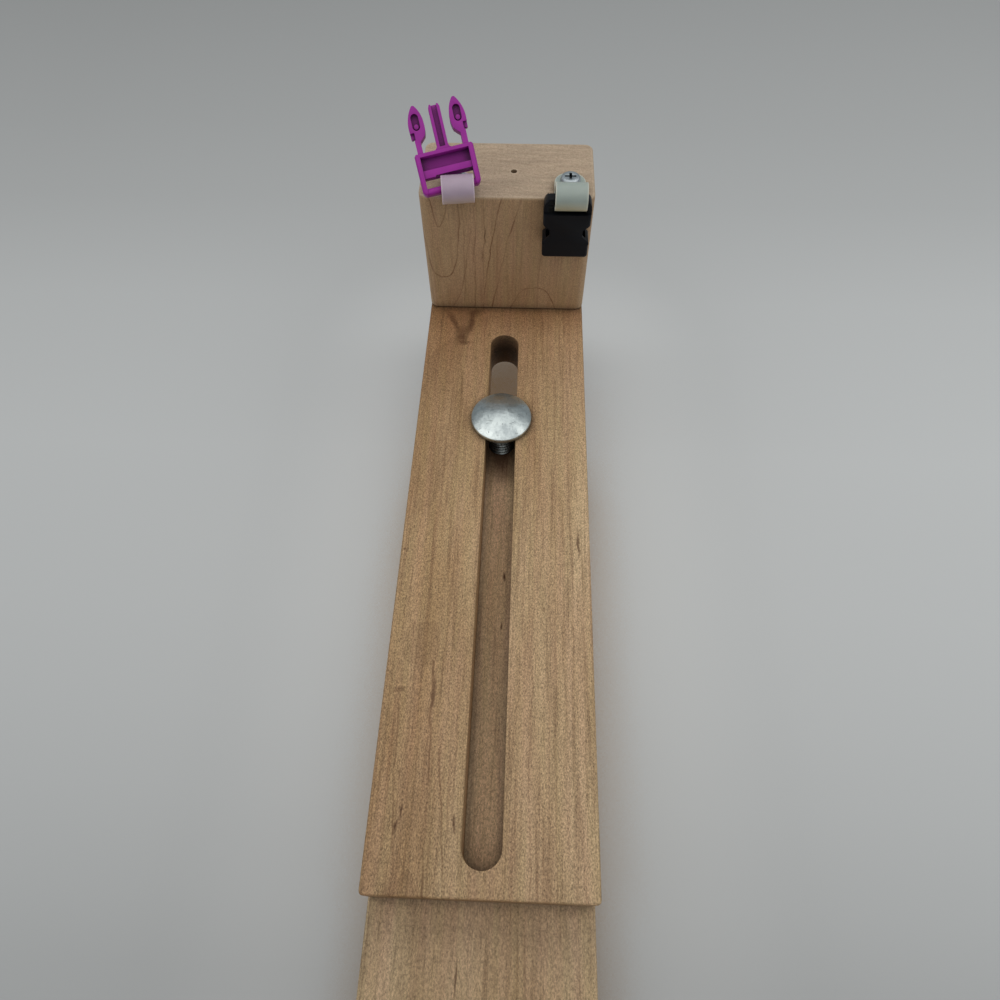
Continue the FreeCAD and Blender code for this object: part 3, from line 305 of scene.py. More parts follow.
def marked(tree, spot, wood, fibre, colour, block, lines, side_lines, stains_and_shade):
    """The wood with its lines, streaks, stains and patches of painted shade, all a little wavy.

    lines arch along the grain, and side_lines arch across it. On a block they show on its front and
    back alone, not over its sides or its top."""
    # waves over about 8 mm across and 11 mm along
    ripple = add(tree, "Mapping", {"Vector": spot.own, "Scale": (0.13, 0.13, 0.09)})
    waves = add(tree, "TexNoise", {"Vector": ripple, "Scale": 1.0, "Detail": 3.0})
    sway = add(tree, "SeparateXYZ", {0: waves.outputs["Color"]})
    aside = add(tree, "Math", {0: sway.outputs[0], 1: 3.0, 2: -1.5}, operation="MULTIPLY_ADD")
    across = add(tree, "Math", {0: aside, 1: spot.x})
    ahead = add(tree, "Math", {0: sway.outputs[1], 1: 4.0, 2: -2.0}, operation="MULTIPLY_ADD")
    onwards = add(tree, "Math", {0: ahead, 1: spot.length})
    masks = [line_mask(tree, across, onwards, spot.length, line, fibre) for line in lines]
    masks += [line_mask(tree, onwards, across, spot.length, line, fibre) for line in side_lines]
    # the lines break off here and there, over about 4 mm across and 9 mm along
    scarce = add(tree, "Mapping", {"Vector": spot.own, "Scale": (0.25, 0.25, 0.11)})
    gaps = add(tree, "TexNoise", {"Vector": scarce, "Scale": 1.0, "Detail": 2.0})
    kept = add(tree, "MapRange", {"Value": gaps, "From Min": 0.36, "From Max": 0.58, "To Min": 0.35})
    if block:
        front = add(tree, "Math", {0: spot.forward}, operation="ABSOLUTE")
        kept = add(tree, "Math", {0: kept, 1: front}, operation="MULTIPLY")
    for mask in masks:
        drawn = add(tree, "Math", {0: mask, 1: kept}, operation="MULTIPLY")
        wood = add(tree, "Mix", {"Factor": drawn, "A": wood, "B": linear(colour)}, data_type="RGBA")
    uneven = add(tree, "VectorMath", {0: waves.outputs["Color"], 1: (5.0, 5.0, 0.0), 2: (-2.5, -2.5, 0.0)},
                 operation="MULTIPLY_ADD")
    wavy = add(tree, "VectorMath", {0: uneven, 1: spot.millimetres})
    for stain_and_shade in stains_and_shade:
        place, brown = (spot.millimetres, BURN_AND_SHADE_BROWN) if stain_and_shade.burnt else (wavy, STREAK_AND_SHADE_BROWN)
        mask = stain_and_shade_mask(tree, place, stain_and_shade, fibre, spot.upright)
        wood = add(tree, "Mix", {"Factor": mask, "A": wood, "B": linear(brown)}, data_type="RGBA")
    return wood


print("streaks are", STREAK_AND_SHADE_BROWN, "and burnt walls", BURN_AND_SHADE_BROWN)

# %% [markdown]
# Two more things are painted at edges and corners: a painted highlight along an edge, where a sanded
# round catches the light, and painted shade where one piece stands on another. Both could be painted on
# by hand, or kept as an attribute on the mesh.
# Ambient occlusion finds them by itself: looked at from inside the wood, a point near an edge is open,
# and looked at from outside, a point in a corner is closed in. It also follows the boards when they slide.


# %% Edges and corners
def edged(tree, wood, edge_highlight):
    """The wood with a painted highlight along its edges, edge_highlight strong and about 1 mm wide, and
    painted shade in its corners.
    """
    if edge_highlight:
        inner = add(tree, "AmbientOcclusion", {"Distance": 1.2 * MM}, samples=8, inside=True,
                    only_local=True)
        # painted highlight along the edges, in pale cream
        edge_glint = add(tree, "MapRange", {"Value": inner.outputs["AO"], "From Min": 0.95, "From Max": 0.55,
                                      "To Min": 0.0, "To Max": edge_highlight})
        wood = add(tree, "Mix", {"Factor": edge_glint, "A": wood, "B": linear("dccbb0")}, data_type="RGBA")
    # painted shade within 4 mm of whatever stands on the wood or lies over it
    corner = add(tree, "AmbientOcclusion", {"Distance": 4 * MM}, samples=8)
    shade = add(tree, "MapRange", {"Value": corner.outputs["AO"], "From Min": 0.45, "From Max": 0.95,
                                   "To Min": 0.50, "To Max": 1.0})
    return add(tree, "VectorMath", {0: wood, "Scale": shade}, operation="SCALE")


print("edges and corners ready")

# %% [markdown]
# The recipe puts these layers in the order in which they lie: tone, end grain, fibres, flecks, rings,
# marks, edges. Bare sanded wood scatters light, so it is rough, with less reflection than the usual half
# because the open pores swallow it, and the fibres and flecks raise it by a tenth of a millimetre.


# %% Maple recipe
def maple(name, along, seed, rings, tone, line_colour, streaks, flecks, end_grain=None, edge_highlight=0.0,
          lines=(), side_lines=(), stains_and_shade=()):
    """Bare sanded maple, with its grain along the axis named by along.

    streaks and flecks say how strong the fine dark lines and dots are. end_grain is the colour of the
    top of an upright block, and the other values go to the layers that they are named for."""
    material, tree = new_material(name)
    spot = wood_spot(tree, along, seed)
    bent, ring_mask = year_rings(tree, spot, **rings)
    wood = wood_tone(tree, spot, **tone)
    if end_grain:
        wood = sanded_top(tree, spot, bent, wood, end_grain)

    # fibres: streaks about 1 mm wide and 30 mm long, a few of them dark
    thin = add(tree, "Mapping", {"Vector": spot.own, "Scale": (0.95, 0.95, 0.030)})
    fibre = add(tree, "TexNoise", {"Vector": thin, "Scale": 1.0, "Detail": 5.0, "Roughness": 0.7})
    dark = add(tree, "MapRange", {"Value": fibre, "From Min": 0.47, "From Max": 0.70, "To Min": 0.0,
                                  "To Max": streaks})
    wood = add(tree, "Mix", {"Factor": dark, "A": wood, "B": linear(line_colour)}, data_type="RGBA")

    # salt and pepper: ray flecks about 0.35 mm wide and 0.6 mm long
    short = add(tree, "Mapping", {"Vector": spot.own, "Scale": (3.0, 3.0, 1.6)})
    fleck = add(tree, "TexNoise", {"Vector": short, "Scale": 1.0, "Detail": 3.0, "Roughness": 0.8})
    speckle = add(tree, "MapRange", {"Value": fleck, "From Min": 0.35, "From Max": 0.65,
                                     "To Min": 1.0 + flecks, "To Max": 1.0 - flecks}, clamp=False)
    wood = add(tree, "VectorMath", {0: wood, "Scale": speckle}, operation="SCALE")
    wood = add(tree, "Mix", {"Factor": ring_mask, "A": wood, "B": linear(line_colour)}, data_type="RGBA")
    wood = marked(tree, spot, wood, fibre, line_colour, end_grain, lines, side_lines, stains_and_shade)
    wood = edged(tree, wood, edge_highlight)

    # bare wood is dull, and a little smoother along the brown fibres
    dull = add(tree, "MapRange", {"Value": fibre, "To Min": 0.72, "To Max": 0.54})
    relief = add(tree, "Math", {0: fleck, 1: 0.8, 2: fibre}, operation="MULTIPLY_ADD")
    bump = add(tree, "Bump", {"Height": relief, "Distance": 0.1 * MM, "Strength": 0.7})
    surface(tree, {"Base Color": wood, "Roughness": dull, "Specular IOR Level": 0.3, "Normal": bump})
    print(name, "has", len(tree.nodes), "nodes")
    return material


# %% [markdown]
# The slide board lies on top. A knot has stained it at the foot of the far block, where it also gets
# painted shade, and its slot's far end is burnt by the router and darkened further by painted shade, as
# are the slot's walls and floor round the bolt. Both boards get painted light falloff along their length,
# and the base painted shade under the slide's near edge. The base is a paler board. The blocks are cut
# from a square post and stand with their grain upright.

# %% Maple for the boards
slide_top, base_top = 31.7, 15.8
slide_maple = maple(
    "maple_sanded_slide", along="Y", seed=1.0, line_colour="6b4d34", streaks=0.54, flecks=0.50,
    rings=dict(pith=(-24, -60), gap=4.6, strength=0.20),
    tone=dict(pale="c4a885", brown="a68561", drift=0.55, tilt=0.0110, shade_and_tone_along=[
        # painted light falloff towards both ends, and painted shade at the foot of the far block, near 163
        # mm
        (-52, (0.90, 0.91, 0.91)), (0, (0.97, 0.98, 0.98)), (55, (1.11, 1.15, 1.17)),
        (100, (0.94, 0.94, 0.90)), (130, (0.85, 0.81, 0.77)), (148, (0.88, 0.80, 0.74)),
        (163, (0.66, 0.53, 0.44)), (178, (0.90, 0.86, 0.82)), (198, (0.94, 0.92, 0.90))]),
    side_lines=[
        Line(120, -18.9, 0.00013, 2, -52, 12, 0.46, 0.78),
        Line(60, -28.4, 0.00041, 2, -52, 0, 0.42, 0.66),
        Line(-160, -4.6, -0.00042, 2, -52, -14, 0.44, 0.66),
        Line(-500, -24.2, 0.000001, 2, -52, -20, 0.34, 0.50),
        Line(-500, 12.4, 0.000001, 2, -52, 60, 0.24, 0.55),
        Line(-500, 19.7, 0.000001, 2, -52, 120, 0.24, 0.45),
        Line(-500, 24.8, 0.000001, 2, -30, 90, 0.22, 0.40)],
    stains_and_shade=[
        # the knot's stain, at the foot of the far block
        StainAndShade((-21.6, 155.4, slide_top), (1.5, 7.6, 3), 24, 0.58),
        StainAndShade((-14.1, 156.0, slide_top), (1.9, 7.0, 3), -9, 0.70),
        StainAndShade((-12.9, 161.4, slide_top), (2.8, 2.4, 3), 0, 0.55),
        StainAndShade((-17.2, 151.0, slide_top), (3.0, 4.6, 3), 0, 0.50),
        StainAndShade((-17.6, 147.0, slide_top), (3.2, 2.6, 3), 10, 0.60),
        StainAndShade((-16.6, 144.6, slide_top), (4.4, 1.2, 3), 8, 0.50),
        # painted shade on the slot's walls behind the bolt
        StainAndShade((0.0, 100.0, 22.0), (9.0, 13.0, 12), 0, 0.80, burnt=True),
        # mineral streaks, and a few dark pores
        StainAndShade((-22.4, -31.2, slide_top), (0.42, 2.4, 2), 0, 0.80),
        StainAndShade((-23.8, -34.8, slide_top), (0.55, 2.3, 2), -28, 0.80),
        StainAndShade((-7.9, -33.5, slide_top), (0.4, 3.0, 2), 6, 0.75),
        StainAndShade((-17.0, 2.5, slide_top), (0.5, 6.5, 2), -3, 0.62),
        StainAndShade((-27.0, 3.0, slide_top), (2.8, 0.9, 2), 12, 0.42),
        StainAndShade((28.1, 54.0, slide_top), (0.42, 6.0, 2), -2, 0.72),
        StainAndShade((-30.0, 50.0, slide_top), (0.45, 0.55, 1), 0, 0.80),
        StainAndShade((16.5, 30.0, slide_top), (0.8, 1.0, 1), 0, 0.45),
        # router burn and painted shade on the walls at the slot's far end
        StainAndShade((0.0, 147.5, 23.0), (12.0, 11.0, 22), 0, 0.95, burnt=True)])
base_maple = maple(
    "maple_sanded_base", along="Y", seed=2.3, line_colour="654a33", streaks=0.45, flecks=0.42,
    rings=dict(pith=(9, -70), gap=6.0, strength=0.30, bend=14.0),
    tone=dict(pale="dcc5a4", brown="bea17e", drift=0.55, shade_and_tone_along=[
        # painted light falloff towards the near end, and painted shade under the slide's near edge, near -58
        # mm
        (-125, (0.84, 0.84, 0.83)), (-71, (0.85, 0.84, 0.82)), (-58, (0.70, 0.69, 0.68)),
        (-42, (1.12, 1.10, 1.08)), (0, (0.98, 0.97, 0.97)), (80, (1.10, 1.08, 1.10)),
        (125, (0.90, 0.87, 0.85))]),
    stains_and_shade=[
        StainAndShade((-6.1, -69.0, base_top), (0.38, 5.0, 2), -4, 0.68),
        StainAndShade((3.0, 48.2, base_top), (0.6, 2.2, 2), 0, 0.95),
        StainAndShade((2.9, 29.3, base_top), (0.45, 1.3, 2), 0, 0.80),
        # painted shade round the bolt on the slot floor
        StainAndShade((0.0, 101.0, base_top), (9.0, 14.0, 3), 0, 0.80)])

# %% Maple for the blocks
even = (1.0, 1.0, 1.0)
# a little darker at the foot of each block: painted shade
block_tone = dict(pale="c3a584", brown="b08f6c",
                  shade_and_tone_along=[(31, (0.97, 0.96, 0.93)), (60, even), (85, even)])
block_maple = maple(
    "maple_sanded_block", along="Z", seed=4.1, line_colour="6a4329", streaks=0.30, flecks=0.24,
    rings=dict(pith=(-22, 93), gap=3.1, strength=0.24), tone=block_tone, end_grain="bbaa96", edge_highlight=0.75,
    lines=[
        Line(-24.6, 72.0, 1.15, 2, 70, 86, 0.36, 0.70),
        Line(-24.9, 48.4, 0.062, 3, 31, 86, 0.40, 0.80),
        Line(-25.3, 31.4, 0.104, 2.4, 31, 72, 0.36, 0.50),
        Line(10.9, 43.6, -0.0152, 3, 31, 44.5, 0.40, 0.80)],
    side_lines=[
        Line(-12.7, -8.7, 0.0015, 2, 31, 84, 0.40, 0.85),
        Line(25.0, -9.4, 0.0022, 2, 31, 84, 0.38, 0.75),
        Line(-100, -18.9, 0.0001, 2, 31, 84, 0.34, 0.50),
        Line(-100, -14.8, 0.0001, 2, 31, 84, 0.36, 0.60),
        Line(-100, -11.6, 0.0001, 2, 31, 84, 0.28, 0.40)],
    stains_and_shade=[
        StainAndShade((-8.8, 164.4, 68.0), (0.35, 2.0, 4.5), 0, 0.70),
        StainAndShade((-9.6, 164.4, 59.0), (0.30, 2.0, 3.0), 0, 0.40),
        # painted shade on the wall of the spare hole in the top
        StainAndShade((2.3, 179.96, 77.0), (2.0, 2.0, 12.0), 0, 0.95, burnt=True)])
near_block_maple = maple(
    "maple_sanded_near_block", along="Z", seed=6.4, line_colour="6b4c35", streaks=0.26, flecks=0.20,
    rings=dict(pith=(8, -40), gap=4.2, strength=0.26), tone=block_tone, end_grain="bbaa96", edge_highlight=0.75)

# %% [markdown]
# ## Moulded finishes
#
# The buckles are moulded acetal: a coloured plastic with a soft sheen from the polished mould, and faint
# waves where it shrank. The clips are natural nylon, milky, so light sinks into it and comes out softened,
# and their thin edges get a painted glow, their undersides painted bounce light from the wood, and the
# clips round purple bars are a copy tinted by painted purple bounce light. The feet are black rubber,
# duller. Hollows get painted shade that is deeper in colour, not just darker, as light bounced off a
# coloured hollow's own walls would be, and again ambient occlusion finds the hollows.


# %% Moulded recipe
def moulded(name, colour, shade, deep, roughness, shine=0.5, sink=0.0, rim=None, below=None):
    """Moulded plastic or rubber with a faint tone drift and a fine mould texture.

    colour drifts to shade, and deep is the colour of painted shade in hollows. rim is the colour of a
    painted glow on thin edges, and below that of painted bounce light on faces turned to what lies under
    the piece. sink is how much light sinks in, and shine how strongly the surface reflects."""
    material, tree = new_material(name)
    place = add(tree, "TexCoord")
    # shrink waves, about 4 mm apart
    wave = add(tree, "TexNoise", {"Vector": place.outputs["Object"], "Scale": 250.0, "Detail": 2.0})
    tone = add(tree, "Mix", {"Factor": wave, "A": linear(colour), "B": linear(shade)}, data_type="RGBA")
    # painted bounce light on faces that look down
    if below:
        facing = add(tree, "NewGeometry")
        turned = add(tree, "SeparateXYZ", {0: facing.outputs["Normal"]})
        down = add(tree, "MapRange", {"Value": turned.outputs[2], "From Min": 0.25, "From Max": -0.55})
        tone = add(tree, "Mix", {"Factor": down, "A": tone, "B": linear(below)}, data_type="RGBA")
    # painted shade in hollows up to about 3 mm deep
    hollow = add(tree, "AmbientOcclusion", {"Distance": 3 * MM}, samples=8, only_local=True)
    outside = add(tree, "MapRange", {"Value": hollow.outputs["AO"], "From Min": 0.40, "From Max": 0.86})
    tone = add(tree, "Mix", {"Factor": outside, "A": linear(deep), "B": tone}, data_type="RGBA")
    # painted glow on thin edges
    if rim:
        inner = add(tree, "AmbientOcclusion", {"Distance": 0.6 * MM}, samples=8, inside=True,
                    only_local=True)
        thin = add(tree, "MapRange", {"Value": inner.outputs["AO"], "From Min": 0.95, "From Max": 0.60})
        tone = add(tree, "Mix", {"Factor": thin, "A": tone, "B": linear(rim)}, data_type="RGBA")
    # mould texture, about 0.25 mm, coarser than the real one so that it shows
    grit = add(tree, "TexNoise", {"Vector": place.outputs["Object"], "Scale": 4000.0, "Detail": 3.0})
    gloss = add(tree, "MapRange", {"Value": grit, "To Min": roughness - 0.07, "To Max": roughness + 0.09})
    both = add(tree, "Math", {0: wave, 1: 1.6, 2: grit}, operation="MULTIPLY_ADD")
    bump = add(tree, "Bump", {"Height": both, "Distance": 0.04 * MM, "Strength": 0.5})
    look = {"Base Color": tone, "Roughness": gloss, "IOR": 1.48, "Specular IOR Level": shine, "Normal": bump}
    if sink:
        look.update({"Subsurface Weight": sink, "Subsurface Radius": (1.0, 0.9, 0.8),
                     "Subsurface Scale": 1.5 * MM})
    surface(tree, look)
    print(name, "has", len(tree.nodes), "nodes")
    return material


# %% Plastics and rubber
# acetal from a mould: even colour and a soft sheen
purple_acetal = moulded("acetal_purple_moulded", "ad34a9", "992b97", "540052", 0.40, shine=0.22)
black_acetal = moulded("acetal_black_moulded", "0f1219", "0c0f15", "08090c", 0.42, shine=0.2)
# uncoloured nylon: milky, greenish grey, yellower underneath as painted bounce light from the wood
natural_nylon = moulded("nylon_natural_moulded", "adb9b4", "a2aea9", "8f958c", 0.36, sink=0.6,
                        rim="e6e4d4", below="c9c4a8")
# painted bounce light: the clip round a purple bar is a copy of the nylon tinted pink, with a pinker
# painted glow and underside
nylon_lit_by_purple = moulded("nylon_natural_painted_purple_light", "bfaec0", "b3a2b4", "9c8a96", 0.36, sink=0.6,
                     rim="f0e0ee", below="cdbab4")
# rubber: nearly no sheen
foot_rubber = moulded("rubber_black_moulded", "1e1e1e", "171717", "101010", 0.72)

# %% [markdown]
# ## Zinc plate
#
# The bolt, washer, wing nut and screws are zinc-plated steel. New plate is a bright bluish mirror, and
# handling makes it cloudy, with fine scratches that lie every way, and its hollows get painted shade. Two
# sets of stretched noise, laid at different angles, give the scratches, and a cloud of noise changes the
# tone and the roughness together, because where plate has gone dull it has also gone darker.


# %% Zinc plate recipe
def zinc(name, colour, dark, roughness, scuffs, shaded_below=None, painted_glint_along=()):
    """Zinc-plated steel, dulled by handling, with fine scuffs and painted shade in its hollows.

    shaded_below is the height in mm below which it is darkened as painted shade. painted_glint_along
    gives places in mm along Y and how much brighter or duller the plating is painted there, as a painted
    reflection."""
    material, tree = new_material(name)
    place = add(tree, "TexCoord").outputs["Object"]
    # cloudy dulling, about 5 mm across
    cloud = add(tree, "TexNoise", {"Vector": place, "Scale": 220.0, "Detail": 6.0, "Roughness": 0.66})
    tone = add(tree, "ValToRGB", {"Fac": cloud}, stops=[(0.34, linear(dark)), (0.60, linear(colour))])
    # short scratches, about 0.3 mm wide and 2.5 mm long, lying two ways
    first = add(tree, "Mapping", {"Vector": place, "Scale": (3200, 420, 900), "Rotation": (0.3, 0.2, 0.7)})
    second = add(tree, "Mapping", {"Vector": place, "Scale": (380, 2900, 900),
                                   "Rotation": (0.1, 0.3, 0.35)})
    one = add(tree, "TexNoise", {"Vector": first, "Scale": 1.0, "Detail": 2.0})
    two = add(tree, "TexNoise", {"Vector": second, "Scale": 1.0, "Detail": 2.0})
    deeper = add(tree, "Math", {0: one, 1: two}, operation="MAXIMUM")
    scratch = add(tree, "MapRange", {"Value": deeper, "From Min": 0.66, "From Max": 0.76})
    metal = add(tree, "Mix", {"Factor": scratch, "A": tone, "B": linear("70787c")}, data_type="RGBA")
    # painted shade in hollows up to about 1 mm deep, such as a screw's cross recess
    hollow = add(tree, "AmbientOcclusion", {"Distance": 1.2 * MM}, samples=8, only_local=True)
    unshaded = add(tree, "MapRange", {"Value": hollow.outputs["AO"], "From Min": 0.50, "From Max": 0.92})
    metal = add(tree, "Mix", {"Factor": unshaded, "A": linear("1c2024"), "B": metal}, data_type="RGBA")
    apart = add(tree, "SeparateXYZ", {0: place})
    if painted_glint_along:
        start, end = painted_glint_along[0][0], painted_glint_along[-1][0]
        share = add(tree, "MapRange", {"Value": apart.outputs[1], "From Min": start * MM,
                                       "From Max": end * MM})
        painted_glint = add(tree, "ValToRGB", {"Fac": share},
                     stops=[((at - start) / (end - start), (*tint, 1)) for at, tint in painted_glint_along])
        metal = add(tree, "VectorMath", {0: metal, 1: painted_glint}, operation="MULTIPLY")
    # painted shade: below that height, on the head's rim and the thread in the slot, the metal is darker
    if shaded_below:
        under_head_shade = add(tree, "MapRange", {"Value": apart.outputs[2], "From Min": (shaded_below - 0.6) * MM,
                                     "From Max": shaded_below * MM, "To Min": 0.60, "To Max": 1.0})
        metal = add(tree, "VectorMath", {0: metal, "Scale": under_head_shade}, operation="SCALE")
    gloss = add(tree, "MapRange", {"Value": cloud, "From Min": 0.3, "From Max": 0.7,
                                   "To Min": roughness + 0.12, "To Max": roughness - 0.10})
    # dents about 2.5 mm across
    dent = add(tree, "TexNoise", {"Vector": place, "Scale": 420.0, "Detail": 3.0})
    height = add(tree, "Math", {0: scratch, 1: -0.35, 2: dent}, operation="MULTIPLY_ADD")
    bump = add(tree, "Bump", {"Height": height, "Distance": 0.35 * MM, "Strength": scuffs})
    surface(tree, {"Base Color": metal, "Roughness": gloss, "Metallic": 1.0, "Normal": bump})
    print(name, "has", len(tree.nodes), "nodes")
    return material


# %% Plated pieces
# painted reflection: the bolt's dome is brighter on its near side and at its far side, and duller
# between
bolt_zinc = zinc("zinc_plated_bolt", "ccd6d8", "a3adb1", 0.37, 0.5, shaded_below=33.1, painted_glint_along=[
    (94, (1.45, 1.43, 1.40)), (98, (1.40, 1.38, 1.36)), (101, (1.10, 1.10, 1.09)),
    (106, (0.87, 0.89, 0.90)), (110, (1.0, 1.04, 1.07)), (117, (1.2, 1.32, 1.45))])
washer_zinc = zinc("zinc_plated_washer", "c2cbcd", "98a1a5", 0.38, 0.5)
# a wing nut is cast before it is plated, so it is duller and rougher
nut_zinc = zinc("zinc_plated_cast", "b9c0c2", "8b9092", 0.42, 0.8)
screw_zinc = zinc("zinc_plated_screw", "c2cbd2", "a0abb2", 0.46, 0.4)

# %% [markdown]
# ## The carriage bolt
#
# A carriage bolt is headed and rolled: the dome and the square neck are pressed cold, and the thread is
# rolled into the shank without cutting. It is remade here with its real 16 threads to the inch. The dome
# is half a section turned round the axis. The thread is one tooth's outline that climbs by one pitch for
# each turn, so that each turn's top meets the next one's bottom.

# %% Turning and rounding
CREASE = math.radians(38)


def chain(shape, points):
    """Points given as radius and height in mm, joined in a row, in the XZ plane."""
    spots = [shape.verts.new((radius * MM, 0, height * MM)) for radius, height in points]
    return spots + [shape.edges.new(pair) for pair in zip(spots, spots[1:])]


def spun(shape, points, steps):
    """Add a closed shape to a bmesh, from half its section turned round the upright axis."""
    bmesh.ops.spin(shape, geom=chain(shape, points), cent=(0, 0, 0), axis=(0, 0, 1), angle=2 * math.pi,
                   steps=steps, use_merge=True, use_duplicate=False)


def arc(centre, radius, start, finish, count):
    """Points on an arc, as radius and height in mm, between two angles in degrees."""
    turns = [math.radians(start + (finish - start) * i / count) for i in range(count + 1)]
    return [(centre[0] + radius * math.cos(t), centre[1] + radius * math.sin(t)) for t in turns]


def rounded(shape, edges, width, segments):
    """Round edges of a bmesh by a width in mm."""
    bmesh.ops.bevel(shape, geom=edges, offset=width * MM, offset_type="OFFSET", affect="EDGES",
                    segments=segments, profile=0.5, material=-1, clamp_overlap=True)


def finished(shape, name, finish, body, replaced, place=(0, 0, 0)):
    """Move a bmesh to its place, make it an object and hand it to the body that carries it."""
    bmesh.ops.translate(shape, verts=shape.verts, vec=Vector(place) * MM)
    mesh = bpy.data.meshes.new(name)
    shape.to_mesh(mesh)
    shape.free()
    mesh.shade_smooth()
    mesh.set_sharp_from_angle(angle=CREASE)
    mesh.materials.append(finish)
    piece = bpy.data.objects.new(name, mesh)
    bpy.context.collection.objects.link(piece)
    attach(piece, body)
    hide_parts(replaced)
    print(name, "has", len(mesh.polygons), "faces")


print("turning and rounding ready")

# %% The bolt's head
bolt_low, bolt_high = [Vector(corner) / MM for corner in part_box("carriage_bolt")]
head_level = 31.75
head_radius = (bolt_high.x - bolt_low.x) / 2
head_height = bolt_high.z - head_level
# the head sits a hair above the slide, so that the two never cut each other while the slide moves
head_gap = 0.02
rim, rim_round, shoulder = 1.7, 0.35, 0.55
crown = head_height - rim
dome = (head_radius ** 2 + crown ** 2) / (2 * crown)
edge_angle = math.degrees(math.asin((dome - crown) / dome))
head_profile = [(0, head_gap), (head_radius - rim_round, head_gap)]
head_profile += arc((head_radius - rim_round, rim_round + head_gap), rim_round, -90, 0, 4)
head_profile += arc((head_radius - shoulder, rim - 0.25), shoulder, 0, 55, 5)
head_profile += arc((0, head_height - dome), dome, edge_angle + 3.0, 90, 22)
bolt = bmesh.new()
spun(bolt, head_profile, 96)
print("the dome's radius is", round(dome, 2), "mm")

# %% The bolt's neck and thread
# the square neck, with its top sunk into the head
neck_half, neck_deep, neck_sunk = 4.75, 5.6, 0.7
neck = bmesh.ops.create_cube(bolt, size=1.0)["verts"]
bmesh.ops.scale(bolt, verts=neck, vec=Vector((neck_half * 2, neck_half * 2, neck_deep + neck_sunk)) * MM)
bmesh.ops.translate(bolt, verts=neck, vec=(0, 0, (neck_sunk - neck_deep) / 2 * MM))
rounded(bolt, list({edge for vert in neck for edge in vert.link_edges}), 0.5, 3)

# one tooth, from root to crest and back to the root one pitch higher
shank, pitch, flat = 4.70, 25.4 / 16, 0.10
root = shank - 0.95
tooth = [(root, 0), (root, 0.12), (shank, pitch / 2 - flat), (shank, pitch / 2 + flat),
         (root, pitch - 0.12), (root, pitch)]
bolt_end = bolt_low.z - head_level
turns = int((-bolt_end - neck_deep - 1.0) / pitch)
start = -neck_deep - turns * pitch
steps = 28
bmesh.ops.spin(bolt, geom=chain(bolt, [(radius, start + height) for radius, height in tooth]),
               cent=(0, 0, 0), axis=(0, 0, 1), dvec=(0, 0, pitch * MM / steps),
               angle=2 * math.pi * turns, steps=steps * turns, use_merge=False, use_duplicate=False)
# the core inside the thread, with its chamfered end
core = root + 0.02
spun(bolt, [(0, bolt_end), (shank - 1.5, bolt_end), (shank - 0.9, bolt_end + 0.6), (core, bolt_end + 1.4),
            (core, -1.0), (0, -1.0)], 48)
bmesh.ops.remove_doubles(bolt, verts=bolt.verts, dist=0.002 * MM)
bmesh.ops.recalc_face_normals(bolt, faces=bolt.faces)
print("thread turns", turns, "from", round(start, 2), "mm under the head")
bolt_place = ((bolt_low.x + bolt_high.x) / 2, (bolt_low.y + bolt_high.y) / 2, head_level)
finished(bolt, "clamp_bolt", bolt_zinc, "base", "carriage_bolt", bolt_place)

# %% [markdown]
# ## Soft edges
#
# The solids have the right shapes but razor edges, and nothing that is sanded or leaves a mould has
# those. A Bevel modifier could round them, but it wants clean faces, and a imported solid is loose
# triangles. So each piece is remade from its solid: the triangles are welded, flat areas are merged back
# into single faces, and every sharp edge is rounded by a quarter of a millimetre or so. The highlights
# that run along such small rounds are what the eye takes for plastic, sanded wood or metal.


# %% Edge softening
def underside_edges(shape, low, high):
    """The edges round the underside of a box-like shape, within 3 mm of its sides."""
    found = []
    for edge in shape.edges:
        ends = [vert.co for vert in edge.verts]
        lowest = max(end.z for end in ends) < low[2] + 0.01 * MM
        inset = min(min(end.x - low[0], high[0] - end.x, end.y - low[1], high[1] - end.y) for end in ends)
        if lowest and inset < 3.0 * MM and edge.calc_face_angle(0) > 1.0:
            found.append(edge)
    return found


def softened(node, name, finish, body, width, segments=2, foot=0.0):
    """A welded copy of a node's solid with its sharp edges rounded, standing for that node.

    foot is a bigger round in mm along the outside edges of its underside."""
    shape = bmesh.new()
    shape.from_mesh(nodes[node].data)
    bmesh.ops.remove_doubles(shape, verts=shape.verts, dist=0.004 * MM)
    bmesh.ops.dissolve_degenerate(shape, edges=shape.edges, dist=0.004 * MM)
    bmesh.ops.dissolve_limit(shape, angle_limit=math.radians(0.6), verts=shape.verts, edges=shape.edges)
    if foot:
        rounded(shape, underside_edges(shape, *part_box(node)), foot, 4)
    sharp = math.radians(28)
    keen = [edge for edge in shape.edges if edge.is_manifold and edge.calc_face_angle(0) > sharp]
    rounded(shape, keen, width, segments)
    bmesh.ops.triangulate(shape, faces=[face for face in shape.faces if len(face.verts) > 4])
    finished(shape, name, finish, body, node)


print("edge softening ready")

# %% [markdown]
# A sanded board keeps a crisp edge of about 0.2 mm. The blocks come from planed post with a softer edge,
# and are rounded by about a millimetre at the foot, which draws the dark line where they stand.

# %% Boards and blocks
softened("slide_board", "slide_plank", slide_maple, "slide", 0.2)
softened("base_board", "base_plank", base_maple, "base", 0.25)
softened("far_block", "far_end_block", block_maple, "slide", 0.4, foot=1.1)
softened("near_block", "near_end_block", near_block_maple, "base", 0.4, foot=1.1)

# %% [markdown]
# The moulded pieces come next. A mould's cutter leaves a small radius in every corner, and the two buckle
# sizes share it. Each clip takes the finish that suits the bar it holds.

